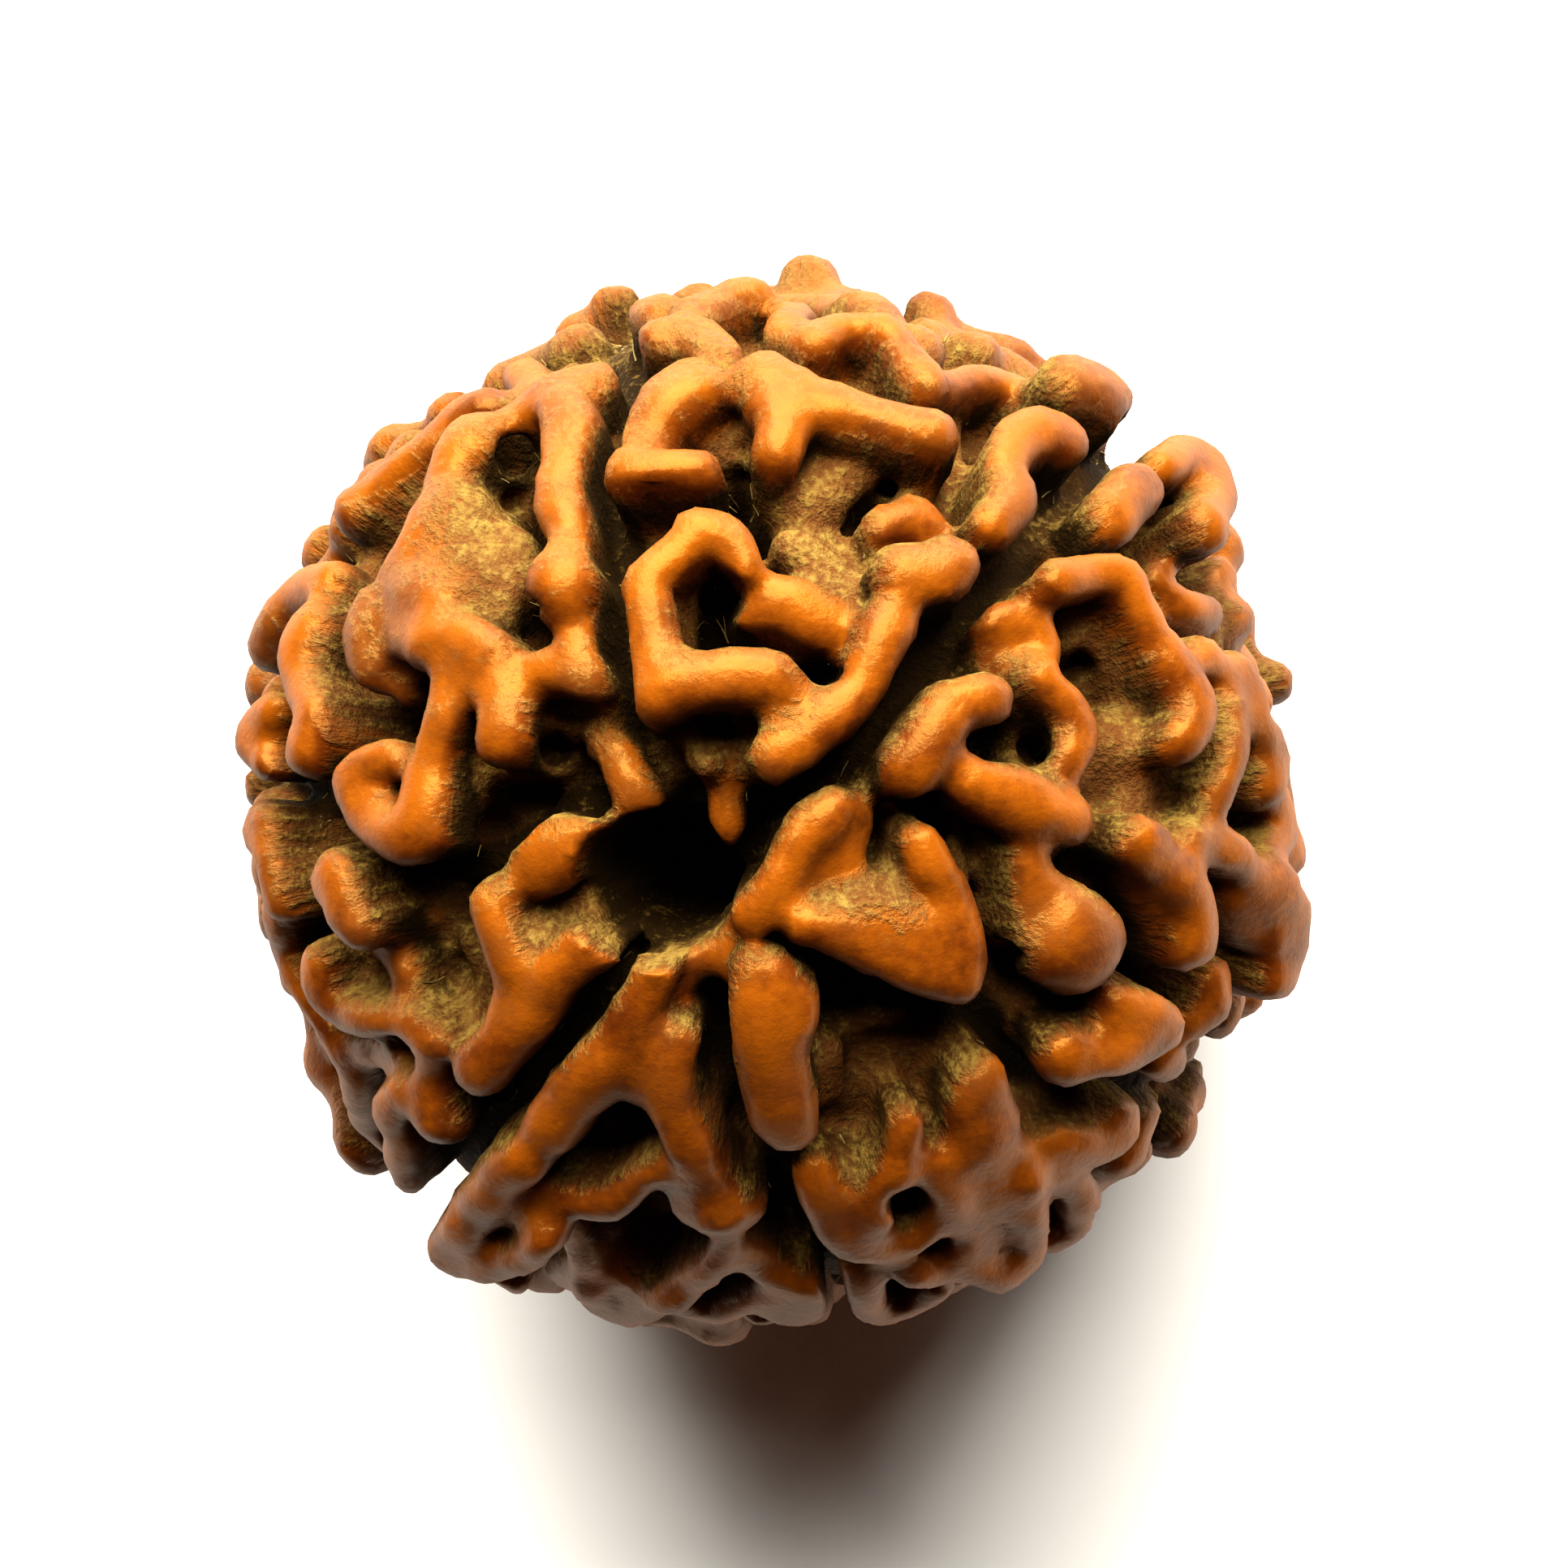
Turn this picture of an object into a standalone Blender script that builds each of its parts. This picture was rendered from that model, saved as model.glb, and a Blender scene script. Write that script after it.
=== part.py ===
"""Rudraksha bead: the dried stone of a fruit, ridged all over, furrowed in six and bored through."""

import math
import random

import bmesh
import bpy
from mathutils import Matrix, Vector

# Driving dimensions, millimetres
CORE_RADIUS = 9.4
WALL_ROOT_RADIUS = 8.8
WALL_FLARE = 0.26
CREST_ALLOWANCE = 0.14
WIDTH_ALLOWANCE = 0.07
REAR_TOP_RADIUS = 12.05
REAR_RIDGE_SPACING = 2.2
RIM_TOP_RADIUS = 11.3
RIM_CLEARANCE = 1.75
POLE_DIMPLE = 2.6
FURROW_CLEARANCE = 0.85
FURROW_FLOOR_RADIUS = 8.9
FURROW_FLOOR_HALF_WIDTH = 0.3
FURROW_OPEN_HALF_WIDTH = 0.55
FURROW_END_ANGLE = 162.0
BORE_RADIUS = 1.35
MOUTH_RADIUS = 1.9
MOUTH_STARTS = 9.0
CUT_REACH = 14.0
FOOT_TOP_RADIUS = 12.3
FOOT_POLAR_ANGLE = 155.0
GROUND_BELOW_CENTRE = 11.0
GRAIN = 0.28
TRIANGLE_BUDGET = 11300
SEED = 6

# The front ridges are laid out looking at the bored pole from this far off, with the pole here.
LAYOUT_EYE = 160.0
LAYOUT_POLE = Vector((-0.217, -0.155, 0.964)).normalized()

MILLIMETRE = 0.001
WALL_COLOUR = (0.47, 0.15, 0.025, 1.0)

# Each furrow of the front, from near the bore to the rim, in points of (across, up).
FRONT_FURROWS = (
    ((-3.4, 2.2), (-3.4, 3.6), (-3.55, 5.1), (-3.6, 6.2), (-3.45, 8.0), (-3.2, 9.5), (-3.5, 11.3)),
    ((0.0, 0.0), (1.1, 0.55), (2.4, 1.6), (3.6, 3.1), (4.6, 4.4), (5.6, 5.4), (6.8, 6.9), (7.9, 8.2), (8.4, 8.5)),
    ((0.9, -3.6), (2.0, -4.2), (4.0, -4.9), (5.2, -5.4), (6.2, -6.6), (8.1, -6.5), (9.6, -7.0)),
    ((-1.4, -4.6), (-1.05, -5.6), (-0.85, -6.6), (-0.5, -7.6), (0.3, -8.8), (0.8, -10.0), (1.5, -11.1),
     (1.6, -11.9)),
    ((-3.4, -3.9), (-4.4, -5.0), (-5.5, -6.4), (-6.5, -7.5), (-7.3, -8.7), (-7.7, -9.1)),
    ((-4.1, -0.1), (-5.3, -0.1), (-6.6, -1.2), (-8.0, -1.8), (-9.3, -1.0), (-10.2, 0.2), (-11.5, 0.25)),
)

# Each ridge of the front: radius of its crest, then points of (across, up, half width).
FRONT_RIDGES = (
    # lobe between the upper furrow and the left furrow
    (11.9, ((-5.6, 8.75, 0.45), (-4.9, 9.1, 0.5), (-4.0, 9.4, 0.45), (-3.6, 9.6, 0.35))),
    (12.1, ((-4.7, 8.9, 0.45), (-4.4, 8.2, 0.45), (-4.4, 7.5, 0.38), (-4.7, 6.9, 0.42), (-4.6, 6.2, 0.36))),
    (11.4, ((-5.6, 9.7, 0.3), (-5.3, 9.3, 0.3))),
    (11.6, ((-6.4, 8.9, 0.45), (-7.0, 8.6, 0.42), (-7.7, 8.0, 0.32), (-8.4, 7.4, 0.4), (-9.2, 6.6, 0.5))),
    (12.1, ((-6.6, 8.2, 0.55), (-7.2, 7.4, 0.5), (-7.5, 6.5, 0.5), (-8.0, 5.7, 0.45), (-8.5, 5.1, 0.3))),
    (11.5, ((-7.0, 6.3, 0.7), (-7.3, 5.4, 0.75), (-6.9, 4.9, 0.5))),
    (11.9, ((-10.0, 4.95, 0.4), (-10.6, 4.7, 0.45), (-11.0, 4.1, 0.42), (-11.3, 3.5, 0.35))),
    (12.1, ((-10.4, 3.9, 0.45), (-10.6, 3.0, 0.42), (-10.3, 2.2, 0.4), (-10.2, 1.8, 0.4), (-10.4, 1.2, 0.45))),
    (12.0, ((-11.2, 2.1, 0.3), (-11.6, 1.6, 0.32), (-11.65, 0.9, 0.35), (-11.3, 0.5, 0.3))),
    (11.9, ((-8.9, 4.3, 0.42), (-9.1, 3.7, 0.46), (-9.0, 3.1, 0.35))),
    (12.2, ((-8.2, 4.8, 0.38), (-7.75, 4.75, 0.45), (-7.4, 4.5, 0.38))),
    (12.0, ((-8.2, 4.8, 0.36), (-8.2, 4.1, 0.33), (-8.2, 3.6, 0.3))),
    (12.2, ((-7.8, 3.6, 0.42), (-7.0, 3.7, 0.42), (-6.4, 3.3, 0.45))),
    (12.1, ((-7.2, 3.5, 0.4), (-7.25, 2.3, 0.28), (-7.45, 1.5, 0.3), (-7.7, 0.8, 0.36), (-7.7, 0.0, 0.45),
            (-7.7, -0.8, 0.55))),
    (12.1, ((-6.5, 3.1, 0.4), (-6.1, 2.4, 0.38), (-6.0, 1.9, 0.42), (-6.0, 1.4, 0.42))),
    (11.4, ((-8.5, 3.0, 0.3), (-8.4, 2.6, 0.33))),
    (12.1, ((-8.6, 0.95, 0.25), (-9.2, 0.8, 0.35), (-9.6, 0.2, 0.35), (-9.2, -0.5, 0.4), (-8.5, -1.0, 0.45),
            (-7.8, -1.0, 0.55))),
    (11.6, ((-9.1, 0.3, 0.45), (-8.7, -0.1, 0.4))),
    (12.3, ((-4.6, 5.7, 0.38), (-4.65, 5.0, 0.62))),
    (12.0, ((-5.4, 2.95, 0.28), (-4.6, 3.0, 0.36), (-4.0, 2.8, 0.33))),
    (12.0, ((-4.35, 4.1, 0.28), (-4.4, 3.4, 0.36), (-4.2, 2.9, 0.33))),
    (11.0, ((-6.0, 4.3, 0.5), (-5.6, 5.3, 0.5), (-5.9, 6.6, 0.4))),
    (10.8, ((-3.8, 1.4, 0.3), (-3.5, 1.2, 0.35), (-3.25, 0.6, 0.38), (-3.0, 0.0, 0.33))),
    (11.5, ((-5.6, -1.2, 0.5), (-5.0, -1.1, 0.62), (-4.4, -1.1, 0.58), (-4.0, -1.0, 0.38))),
    # lobe between the upper furrow and the upper right furrow
    (11.7, ((-2.9, 10.9, 0.5), (-2.7, 11.1, 0.4))),
    (12.0, ((-1.7, 11.0, 0.45), (-1.0, 11.3, 0.4), (-0.4, 11.5, 0.42))),
    (12.0, ((-2.5, 10.4, 0.4), (-1.8, 10.6, 0.38), (-1.15, 10.1, 0.38))),
    (12.1, ((-1.75, 9.3, 0.62), (-2.4, 8.8, 0.66), (-2.8, 8.3, 0.45))),
    (12.2, ((-3.3, 7.4, 0.45), (-2.3, 7.4, 0.4), (-1.4, 7.25, 0.36))),
    (12.4, ((-1.6, 6.4, 0.5), (-1.9, 5.9, 0.42), (-2.5, 5.2, 0.38), (-3.0, 4.6, 0.34), (-3.0, 3.8, 0.34),
            (-2.8, 3.0, 0.42), (-2.7, 2.3, 0.46))),
    (12.2, ((-1.4, 6.4, 0.45), (-0.8, 6.0, 0.38), (-0.5, 5.3, 0.3))),
    (12.2, ((-2.6, 2.5, 0.52), (-1.7, 2.7, 0.52), (-0.8, 2.8, 0.5), (0.0, 2.8, 0.5))),
    (10.4, ((-1.2, 1.0, 0.28), (-1.05, 0.3, 0.28), (-1.0, -0.6, 0.28))),
    (11.6, ((-0.3, 4.5, 0.38), (0.4, 4.5, 0.45), (1.1, 4.1, 0.45), (1.7, 3.9, 0.33))),
    (11.2, ((0.5, 5.8, 0.3), (1.1, 5.3, 0.34), (1.6, 4.7, 0.38))),
    (12.2, ((2.75, 4.0, 0.42), (2.4, 3.3, 0.38), (1.95, 2.5, 0.38), (1.4, 1.9, 0.44), (0.8, 1.4, 0.44),
            (0.2, 0.8, 0.4))),
    (12.0, ((0.3, 2.4, 0.45), (0.8, 1.8, 0.45))),
    (12.4, ((3.1, 5.15, 0.52), (4.2, 5.15, 0.52))),
    (11.3, ((2.5, 6.2, 0.33), (3.1, 6.5, 0.38), (3.5, 6.2, 0.33))),
    (12.2, ((-0.1, 9.6, 0.5), (0.6, 9.1, 0.52), (1.4, 8.9, 0.46), (2.6, 8.6, 0.38), (3.7, 8.3, 0.5))),
    (12.2, ((-0.1, 9.6, 0.5), (0.3, 8.6, 0.46), (0.15, 8.0, 0.38))),
    (10.9, ((0.2, 7.8, 0.5), (0.6, 6.9, 0.5), (1.7, 7.3, 0.4))),
    (11.8, ((0.6, 11.2, 0.32), (0.35, 10.6, 0.34))),
    (12.0, ((1.0, 10.4, 0.34), (1.8, 10.7, 0.34), (2.6, 10.4, 0.34), (3.2, 9.8, 0.34), (3.6, 9.3, 0.34))),
    (11.5, ((3.9, 9.2, 0.32), (4.6, 9.45, 0.34), (5.4, 9.4, 0.34), (5.8, 9.1, 0.28))),
    (12.2, ((6.7, 8.2, 0.44), (5.8, 8.3, 0.44), (5.3, 7.6, 0.4), (5.5, 6.8, 0.44), (5.0, 6.2, 0.38))),
    (12.4, ((6.7, 9.4, 0.6), (7.5, 9.2, 0.55), (7.9, 8.95, 0.4))),
    # lobe between the upper right furrow and the lower right furrow
    (12.2, ((7.7, 6.5, 0.48), (8.2, 7.2, 0.56))),
    (12.4, ((8.9, 7.6, 0.3), (9.5, 7.8, 0.36), (10.0, 7.1, 0.44), (9.9, 6.3, 0.4))),
    (12.4, ((4.9, 2.3, 0.44), (4.2, 2.2, 0.42), (3.5, 1.6, 0.5), (3.1, 0.9, 0.55))),
    (11.6, ((4.6, 4.1, 0.26), (5.3, 4.2, 0.26), (6.0, 3.9, 0.3), (6.3, 3.3, 0.3))),
    (11.2, ((5.2, 3.2, 0.4),)),
    (12.3, ((6.4, 5.0, 0.3), (7.3, 5.15, 0.3), (8.0, 5.1, 0.34), (8.4, 4.4, 0.34), (8.9, 3.6, 0.38),
            (9.3, 2.8, 0.42), (9.5, 2.0, 0.46), (9.2, 1.3, 0.38))),
    (12.2, ((9.8, 3.3, 0.3), (10.3, 2.9, 0.3), (10.4, 2.0, 0.3), (10.35, 1.0, 0.3), (10.1, 0.1, 0.3))),
    (12.2, ((10.6, 3.0, 0.34), (10.8, 2.4, 0.34), (10.9, 1.7, 0.34), (11.3, 0.9, 0.46), (11.2, 0.5, 0.42))),
    (11.2, ((8.8, 5.1, 0.26), (9.4, 4.4, 0.28), (9.9, 4.3, 0.26))),
    (12.1, ((6.2, 2.9, 0.3), (6.8, 2.2, 0.34), (7.05, 1.5, 0.34), (6.8, 0.9, 0.34))),
    (10.9, ((7.7, 1.3, 0.5), (8.2, 0.6, 0.5), (8.0, -0.2, 0.45))),
    (12.3, ((4.5, 0.5, 0.38), (5.2, 0.15, 0.48), (6.0, -0.1, 0.52), (6.9, -0.4, 0.42))),
    (12.0, ((1.6, 0.2, 0.36), (1.4, -0.3, 0.4), (0.9, -0.6, 0.38), (0.6, -1.1, 0.32), (0.3, -1.7, 0.3),
            (0.0, -2.2, 0.33), (-0.4, -2.6, 0.3))),
    (11.3, ((1.6, -0.5, 0.5), (1.4, -1.3, 0.5), (0.9, -1.9, 0.4))),
    (12.2, ((0.8, -2.8, 0.28), (1.4, -2.9, 0.34), (2.0, -3.15, 0.4), (2.7, -3.5, 0.45), (3.5, -3.9, 0.45),
            (4.3, -4.0, 0.45))),
    (12.1, ((2.2, -2.6, 0.45), (3.0, -2.9, 0.55), (3.8, -3.3, 0.6))),
    (12.1, ((4.3, -3.6, 0.45), (4.2, -2.7, 0.42), (4.0, -2.0, 0.4), (3.7, -1.5, 0.36), (3.4, -0.9, 0.32))),
    (11.6, ((1.7, -2.2, 0.3), (2.4, -2.1, 0.3), (3.0, -2.4, 0.34))),
    (12.1, ((5.8, -1.3, 0.33), (6.0, -1.9, 0.4), (6.3, -2.6, 0.5))),
    (12.4, ((6.8, -3.1, 0.85), (7.1, -3.25, 0.85))),
    (12.3, ((8.3, -0.9, 0.38), (8.8, -1.3, 0.42), (9.3, -1.8, 0.45), (9.6, -2.5, 0.48), (9.6, -3.2, 0.45))),
    (11.6, ((8.3, -1.6, 0.45), (8.8, -2.3, 0.5), (9.0, -3.1, 0.45))),
    (12.3, ((9.6, -0.9, 0.3), (10.2, -1.0, 0.3), (10.8, -1.4, 0.3), (11.2, -2.0, 0.3), (11.4, -2.6, 0.3),
            (11.35, -3.1, 0.3))),
    (11.8, ((10.5, -2.0, 0.4), (10.8, -2.7, 0.45))),
    (12.0, ((11.4, 0.1, 0.4), (11.55, -0.6, 0.4), (11.2, -1.1, 0.34))),
    (12.4, ((11.4, -1.7, 0.3), (11.7, -2.4, 0.38), (11.7, -3.1, 0.42), (11.6, -3.7, 0.42), (11.3, -4.0, 0.35))),
    (11.6, ((10.9, -3.4, 0.26), (11.0, -3.8, 0.28), (10.6, -4.0, 0.3))),
    (11.8, ((10.0, -4.1, 0.38), (9.9, -4.55, 0.45), (9.6, -4.9, 0.33))),
    (12.3, ((7.8, -4.65, 0.33), (8.4, -4.75, 0.42), (8.8, -5.05, 0.45))),
    (12.3, ((8.9, -5.1, 0.42), (8.3, -5.4, 0.45), (7.6, -5.6, 0.42), (7.0, -5.7, 0.45), (6.5, -5.85, 0.5))),
    (11.2, ((9.4, -5.5, 0.33),)),
    (11.4, ((8.8, -6.1, 0.36), (8.6, -5.9, 0.36))),
    # lobe between the lower right furrow and the lower furrow
    (11.0, ((-0.5, -2.7, 0.26), (-0.6, -3.2, 0.24))),
    (11.0, ((-1.6, -3.6, 0.3), (-1.1, -3.7, 0.33), (-0.6, -3.4, 0.28))),
    (12.1, ((-0.2, -4.0, 0.5), (0.4, -4.2, 0.5), (0.3, -4.9, 0.6))),
    (12.2, ((-0.2, -4.4, 0.5), (-0.05, -5.2, 0.6), (0.0, -6.0, 0.62), (0.2, -6.7, 0.62), (0.45, -7.3, 0.5))),
    (10.9, ((1.2, -5.6, 0.35), (1.2, -6.5, 0.35))),
    (10.3, ((1.9, -5.6, 0.24), (2.3, -5.75, 0.24), (2.8, -5.4, 0.24))),
    (12.2, ((1.0, -8.5, 0.3), (1.15, -9.1, 0.38), (1.5, -9.6, 0.44), (2.1, -9.95, 0.38), (2.6, -10.1, 0.3))),
    (12.2, ((3.1, -7.3, 0.24), (3.0, -7.9, 0.28), (2.75, -8.4, 0.34), (2.4, -8.9, 0.38), (2.2, -9.5, 0.42))),
    (11.6, ((1.8, -8.5, 0.5), (1.7, -9.0, 0.5))),
    (12.1, ((3.5, -8.1, 0.24), (3.85, -8.6, 0.25), (3.9, -9.1, 0.25), (3.6, -9.6, 0.27), (3.2, -9.9, 0.3),
            (2.8, -10.2, 0.3))),
    (12.2, ((4.1, -8.8, 0.24), (4.25, -9.4, 0.25), (4.5, -9.9, 0.27), (4.35, -10.4, 0.28), (3.8, -10.7, 0.3),
            (3.3, -10.6, 0.3))),
    (12.1, ((4.0, -8.1, 0.24), (4.5, -8.2, 0.24), (4.95, -8.5, 0.25), (5.1, -9.1, 0.25), (5.1, -9.7, 0.27),
            (4.8, -10.0, 0.27))),
    (11.4, ((3.3, -8.1, 0.27), (3.8, -7.8, 0.27), (4.3, -7.7, 0.27))),
    (12.0, ((4.6, -6.4, 0.34), (4.5, -7.1, 0.42), (4.8, -7.6, 0.45), (5.1, -7.9, 0.35))),
    (12.0, ((5.1, -6.0, 0.24), (5.1, -6.7, 0.25), (5.3, -7.5, 0.27), (5.6, -8.0, 0.27), (6.1, -8.0, 0.27),
            (6.4, -7.75, 0.3), (7.0, -7.7, 0.3), (7.6, -7.7, 0.34), (8.0, -7.4, 0.34), (8.0, -6.9, 0.3))),
    (11.5, ((7.2, -6.9, 0.4), (7.4, -7.3, 0.4))),
    (12.4, ((5.9, -8.6, 0.27), (5.9, -9.3, 0.3), (6.0, -9.9, 0.3), (5.8, -10.5, 0.3), (5.3, -10.7, 0.38),
            (4.8, -10.6, 0.36))),
    (11.8, ((5.4, -9.4, 0.4), (5.3, -10.1, 0.45))),
    (12.0, ((6.5, -8.3, 0.3), (7.0, -8.8, 0.3), (6.9, -9.5, 0.34), (6.4, -9.9, 0.34))),
    (12.0, ((1.7, -10.6, 0.27), (1.9, -11.2, 0.3), (2.4, -11.5, 0.33), (2.9, -11.4, 0.3), (3.4, -11.2, 0.3),
            (3.8, -10.9, 0.3))),
    # lobe between the lower furrow and the lower left furrow
    (11.0, ((-2.8, -3.6, 0.3), (-2.4, -3.95, 0.3), (-2.0, -4.0, 0.26))),
    (12.0, ((-2.8, -3.8, 0.34), (-2.95, -4.3, 0.36), (-3.05, -4.9, 0.4), (-3.3, -5.4, 0.48), (-3.9, -6.0, 0.52),
            (-4.4, -6.6, 0.5), (-4.9, -7.3, 0.5), (-5.1, -7.55, 0.42))),
    (12.0, ((-2.1, -5.5, 0.34), (-2.3, -6.1, 0.44), (-2.2, -6.8, 0.44), (-1.85, -7.5, 0.44), (-1.55, -8.2, 0.4),
            (-1.4, -8.8, 0.48), (-1.1, -9.15, 0.58))),
    (11.7, ((-3.2, -5.9, 0.55), (-2.8, -6.3, 0.5))),
    (11.9, ((-1.8, -9.1, 0.35), (-1.1, -9.4, 0.4), (-0.5, -9.2, 0.3))),
    (12.4, ((-5.6, -8.15, 0.38), (-6.0, -8.4, 0.4), (-6.3, -8.8, 0.44), (-6.6, -9.2, 0.42))),
    (12.0, ((-6.3, -8.9, 0.45), (-5.7, -9.0, 0.4), (-5.0, -9.0, 0.3), (-4.5, -9.0, 0.28), (-3.8, -9.1, 0.28),
            (-3.3, -8.9, 0.27), (-2.8, -8.5, 0.27), (-2.3, -8.3, 0.24))),
    (11.4, ((-5.3, -8.5, 0.4), (-4.4, -8.75, 0.33))),
    (12.7, ((-7.2, -9.3, 0.38), (-7.4, -9.9, 0.42), (-6.9, -10.3, 0.38), (-6.2, -10.4, 0.36),
            (-5.5, -10.3, 0.33), (-5.1, -9.9, 0.3))),
    (12.3, ((-6.4, -10.6, 0.34), (-5.8, -10.9, 0.3))),
    (11.7, ((-4.7, -9.6, 0.25), (-4.4, -10.0, 0.27), (-4.2, -10.5, 0.3), (-4.7, -10.7, 0.33))),
    (12.0, ((-4.1, -11.0, 0.27), (-3.8, -11.35, 0.3), (-3.2, -11.5, 0.34), (-2.6, -11.3, 0.3), (-2.0, -11.1, 0.3),
            (-1.5, -10.7, 0.3), (-1.1, -10.3, 0.27), (-0.95, -9.9, 0.26))),
    (11.4, ((-3.3, -10.5, 0.5), (-2.7, -10.9, 0.4))),
    (11.8, ((-2.0, -11.3, 0.28), (-1.5, -11.5, 0.28), (-0.9, -11.4, 0.28), (-0.3, -11.2, 0.28))),
    (11.8, ((-0.8, -10.1, 0.26), (-0.4, -10.5, 0.28), (0.2, -10.8, 0.3), (0.8, -10.8, 0.3))),
    (11.9, ((0.0, -11.2, 0.3), (0.4, -11.5, 0.33), (0.9, -11.45, 0.34), (1.3, -11.1, 0.3), (1.4, -10.6, 0.27))),
    # lobe between the lower left furrow and the left furrow
    (12.0, ((-6.4, -2.3, 0.33), (-6.2, -2.9, 0.4), (-5.95, -3.6, 0.4), (-5.8, -4.3, 0.36), (-5.9, -4.9, 0.36))),
    (12.0, ((-3.75, -3.2, 0.33), (-4.3, -3.4, 0.42), (-4.8, -3.9, 0.44), (-5.2, -4.5, 0.42), (-5.6, -5.1, 0.45),
            (-6.1, -5.6, 0.5), (-6.5, -6.0, 0.5))),
    (11.3, ((-5.2, -3.2, 0.45), (-5.5, -3.9, 0.36))),
    (10.4, ((-4.4, -2.6, 0.4), (-3.8, -2.3, 0.33))),
    (12.1, ((-9.7, -1.65, 0.5), (-9.4, -2.3, 0.55), (-9.1, -2.8, 0.42))),
    (11.3, ((-8.8, -3.2, 0.28), (-8.2, -3.8, 0.27), (-8.15, -4.5, 0.27))),
    (10.6, ((-7.8, -3.9, 0.4), (-7.7, -4.5, 0.35))),
    (11.9, ((-10.2, -3.7, 0.36), (-10.05, -4.3, 0.42), (-9.6, -4.8, 0.36), (-8.8, -4.95, 0.28), (-8.1, -5.1, 0.27),
            (-7.75, -5.5, 0.28))),
    (11.2, ((-9.3, -4.2, 0.4),)),
    (11.4, ((-9.7, -5.6, 0.28), (-9.0, -5.7, 0.28), (-8.2, -5.7, 0.24))),
    (12.0, ((-7.7, -5.5, 0.28), (-7.8, -6.2, 0.3), (-7.7, -6.8, 0.38), (-7.5, -7.2, 0.45))),
    (12.0, ((-8.3, -6.6, 0.3), (-8.6, -7.1, 0.34), (-8.4, -7.6, 0.34), (-8.35, -8.1, 0.34), (-8.1, -8.5, 0.34))),
    (11.5, ((-7.9, -8.0, 0.4), (-7.6, -8.3, 0.33))),
    (11.9, ((-11.4, 0.0, 0.38), (-11.5, -0.5, 0.4), (-11.25, -1.1, 0.38), (-11.1, -1.7, 0.34),
            (-11.0, -2.3, 0.34))),
    (11.6, ((-11.0, -2.5, 0.36), (-11.0, -3.1, 0.38), (-10.85, -3.6, 0.34), (-10.55, -4.2, 0.3),
            (-10.2, -4.9, 0.3), (-9.85, -5.5, 0.3), (-9.5, -6.1, 0.33), (-9.35, -6.7, 0.33),
            (-9.1, -7.3, 0.33), (-8.7, -7.8, 0.3))),
)


def layout_to_bead():
    """Rotation from the layout's axes to the bead's, whose bore runs along Z."""
    return LAYOUT_POLE.rotation_difference(Vector((0.0, 0.0, 1.0))).to_matrix()


TO_BEAD = layout_to_bead()


def on_bead(across, up, radius):
    """Point of the front of a sphere of this radius that the layout shows at (across, up)."""
    eye = Vector((0.0, 0.0, LAYOUT_EYE))
    ray = (Vector((across, up, 0.0)) - eye).normalized()
    abreast = eye + ray * -eye.dot(ray)
    short = radius * radius - abreast.length_squared
    if short <= 0.0:
        return TO_BEAD @ (abreast.normalized() * radius)
    return TO_BEAD @ (abreast - ray * math.sqrt(short))


def spaced(points, step=0.3):
    """The polyline of (position, half width) rounded off and sampled every step millimetres."""
    padded = [points[0], *points, points[-1]]
    found = []
    for before, start, end, after in zip(padded, padded[1:], padded[2:], padded[3:]):
        count = max(1, math.ceil((end[0] - start[0]).length / step))
        for index in range(count):
            t = index / count
            place = (start[0] * 2.0 + (end[0] - before[0]) * t
                     + (before[0] * 2.0 - start[0] * 5.0 + end[0] * 4.0 - after[0]) * t ** 2
                     + (start[0] * 3.0 - before[0] - end[0] * 3.0 + after[0]) * t ** 3) * 0.5
            found.append((place, start[1] + (end[1] - start[1]) * t))
    found.append(points[-1])
    return found


def furrow_ring(blank, out, side, open_half_width):
    """One cross section of a furrow's cutter, narrow at the floor and open outside the ridges."""
    return [
        blank.verts.new(side * across + out * height)
        for across, height in (
            (-FURROW_FLOOR_HALF_WIDTH, FURROW_FLOOR_RADIUS),
            (-open_half_width, CUT_REACH),
            (open_half_width, CUT_REACH),
            (FURROW_FLOOR_HALF_WIDTH, FURROW_FLOOR_RADIUS),
        )
    ]


def wall_ring(blank, foot, out, side, half_width, crest):
    """One cross section of a ridge, from its root in the core over the round crest and back."""
    shoulder = crest - half_width
    profile = [
        (-(half_width + WALL_FLARE), WALL_ROOT_RADIUS),
        (-(half_width + WALL_FLARE * 0.35), (WALL_ROOT_RADIUS + shoulder) / 2.0),
        (-half_width, shoulder),
    ]
    for degrees in (-55.0, -25.0, 0.0):
        turn = math.radians(degrees)
        profile.append((half_width * math.sin(turn), shoulder + half_width * math.cos(turn)))
    profile += [(-across, height) for across, height in reversed(profile[:-1])]
    return [blank.verts.new(foot + side * across + out * height) for across, height in profile]


def add_ridge(blank, points):
    """A wall along the points, each a crest position and a half width, round at both ends."""
    points = [(position + position.normalized() * CREST_ALLOWANCE, half_width + WIDTH_ALLOWANCE)
              for position, half_width in points]
    if len(points) == 1:
        position, half_width = points[0]
        points = [points[0], (position + position.orthogonal().normalized() * 0.12, half_width)]
    samples = spaced(points)
    rings = []
    stations = [(0, turn) for turn in (-78.0, -50.0, -25.0)]
    stations += [(index, 0.0) for index in range(len(samples))]
    stations += [(len(samples) - 1, turn) for turn in (25.0, 50.0, 78.0)]
    for index, turn in stations:
        position, half_width = samples[index]
        ahead = samples[min(index + 1, len(samples) - 1)][0] - samples[max(index - 1, 0)][0]
        out = position.normalized()
        along = (ahead - out * ahead.dot(out)).normalized()
        narrow = math.cos(math.radians(turn))
        foot = along * half_width * math.sin(math.radians(turn))
        crest = position.length - half_width * (1.0 - narrow)
        rings.append(wall_ring(blank, foot, out, out.cross(along), half_width * narrow, crest))
    skin_rings(blank, rings)


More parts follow.
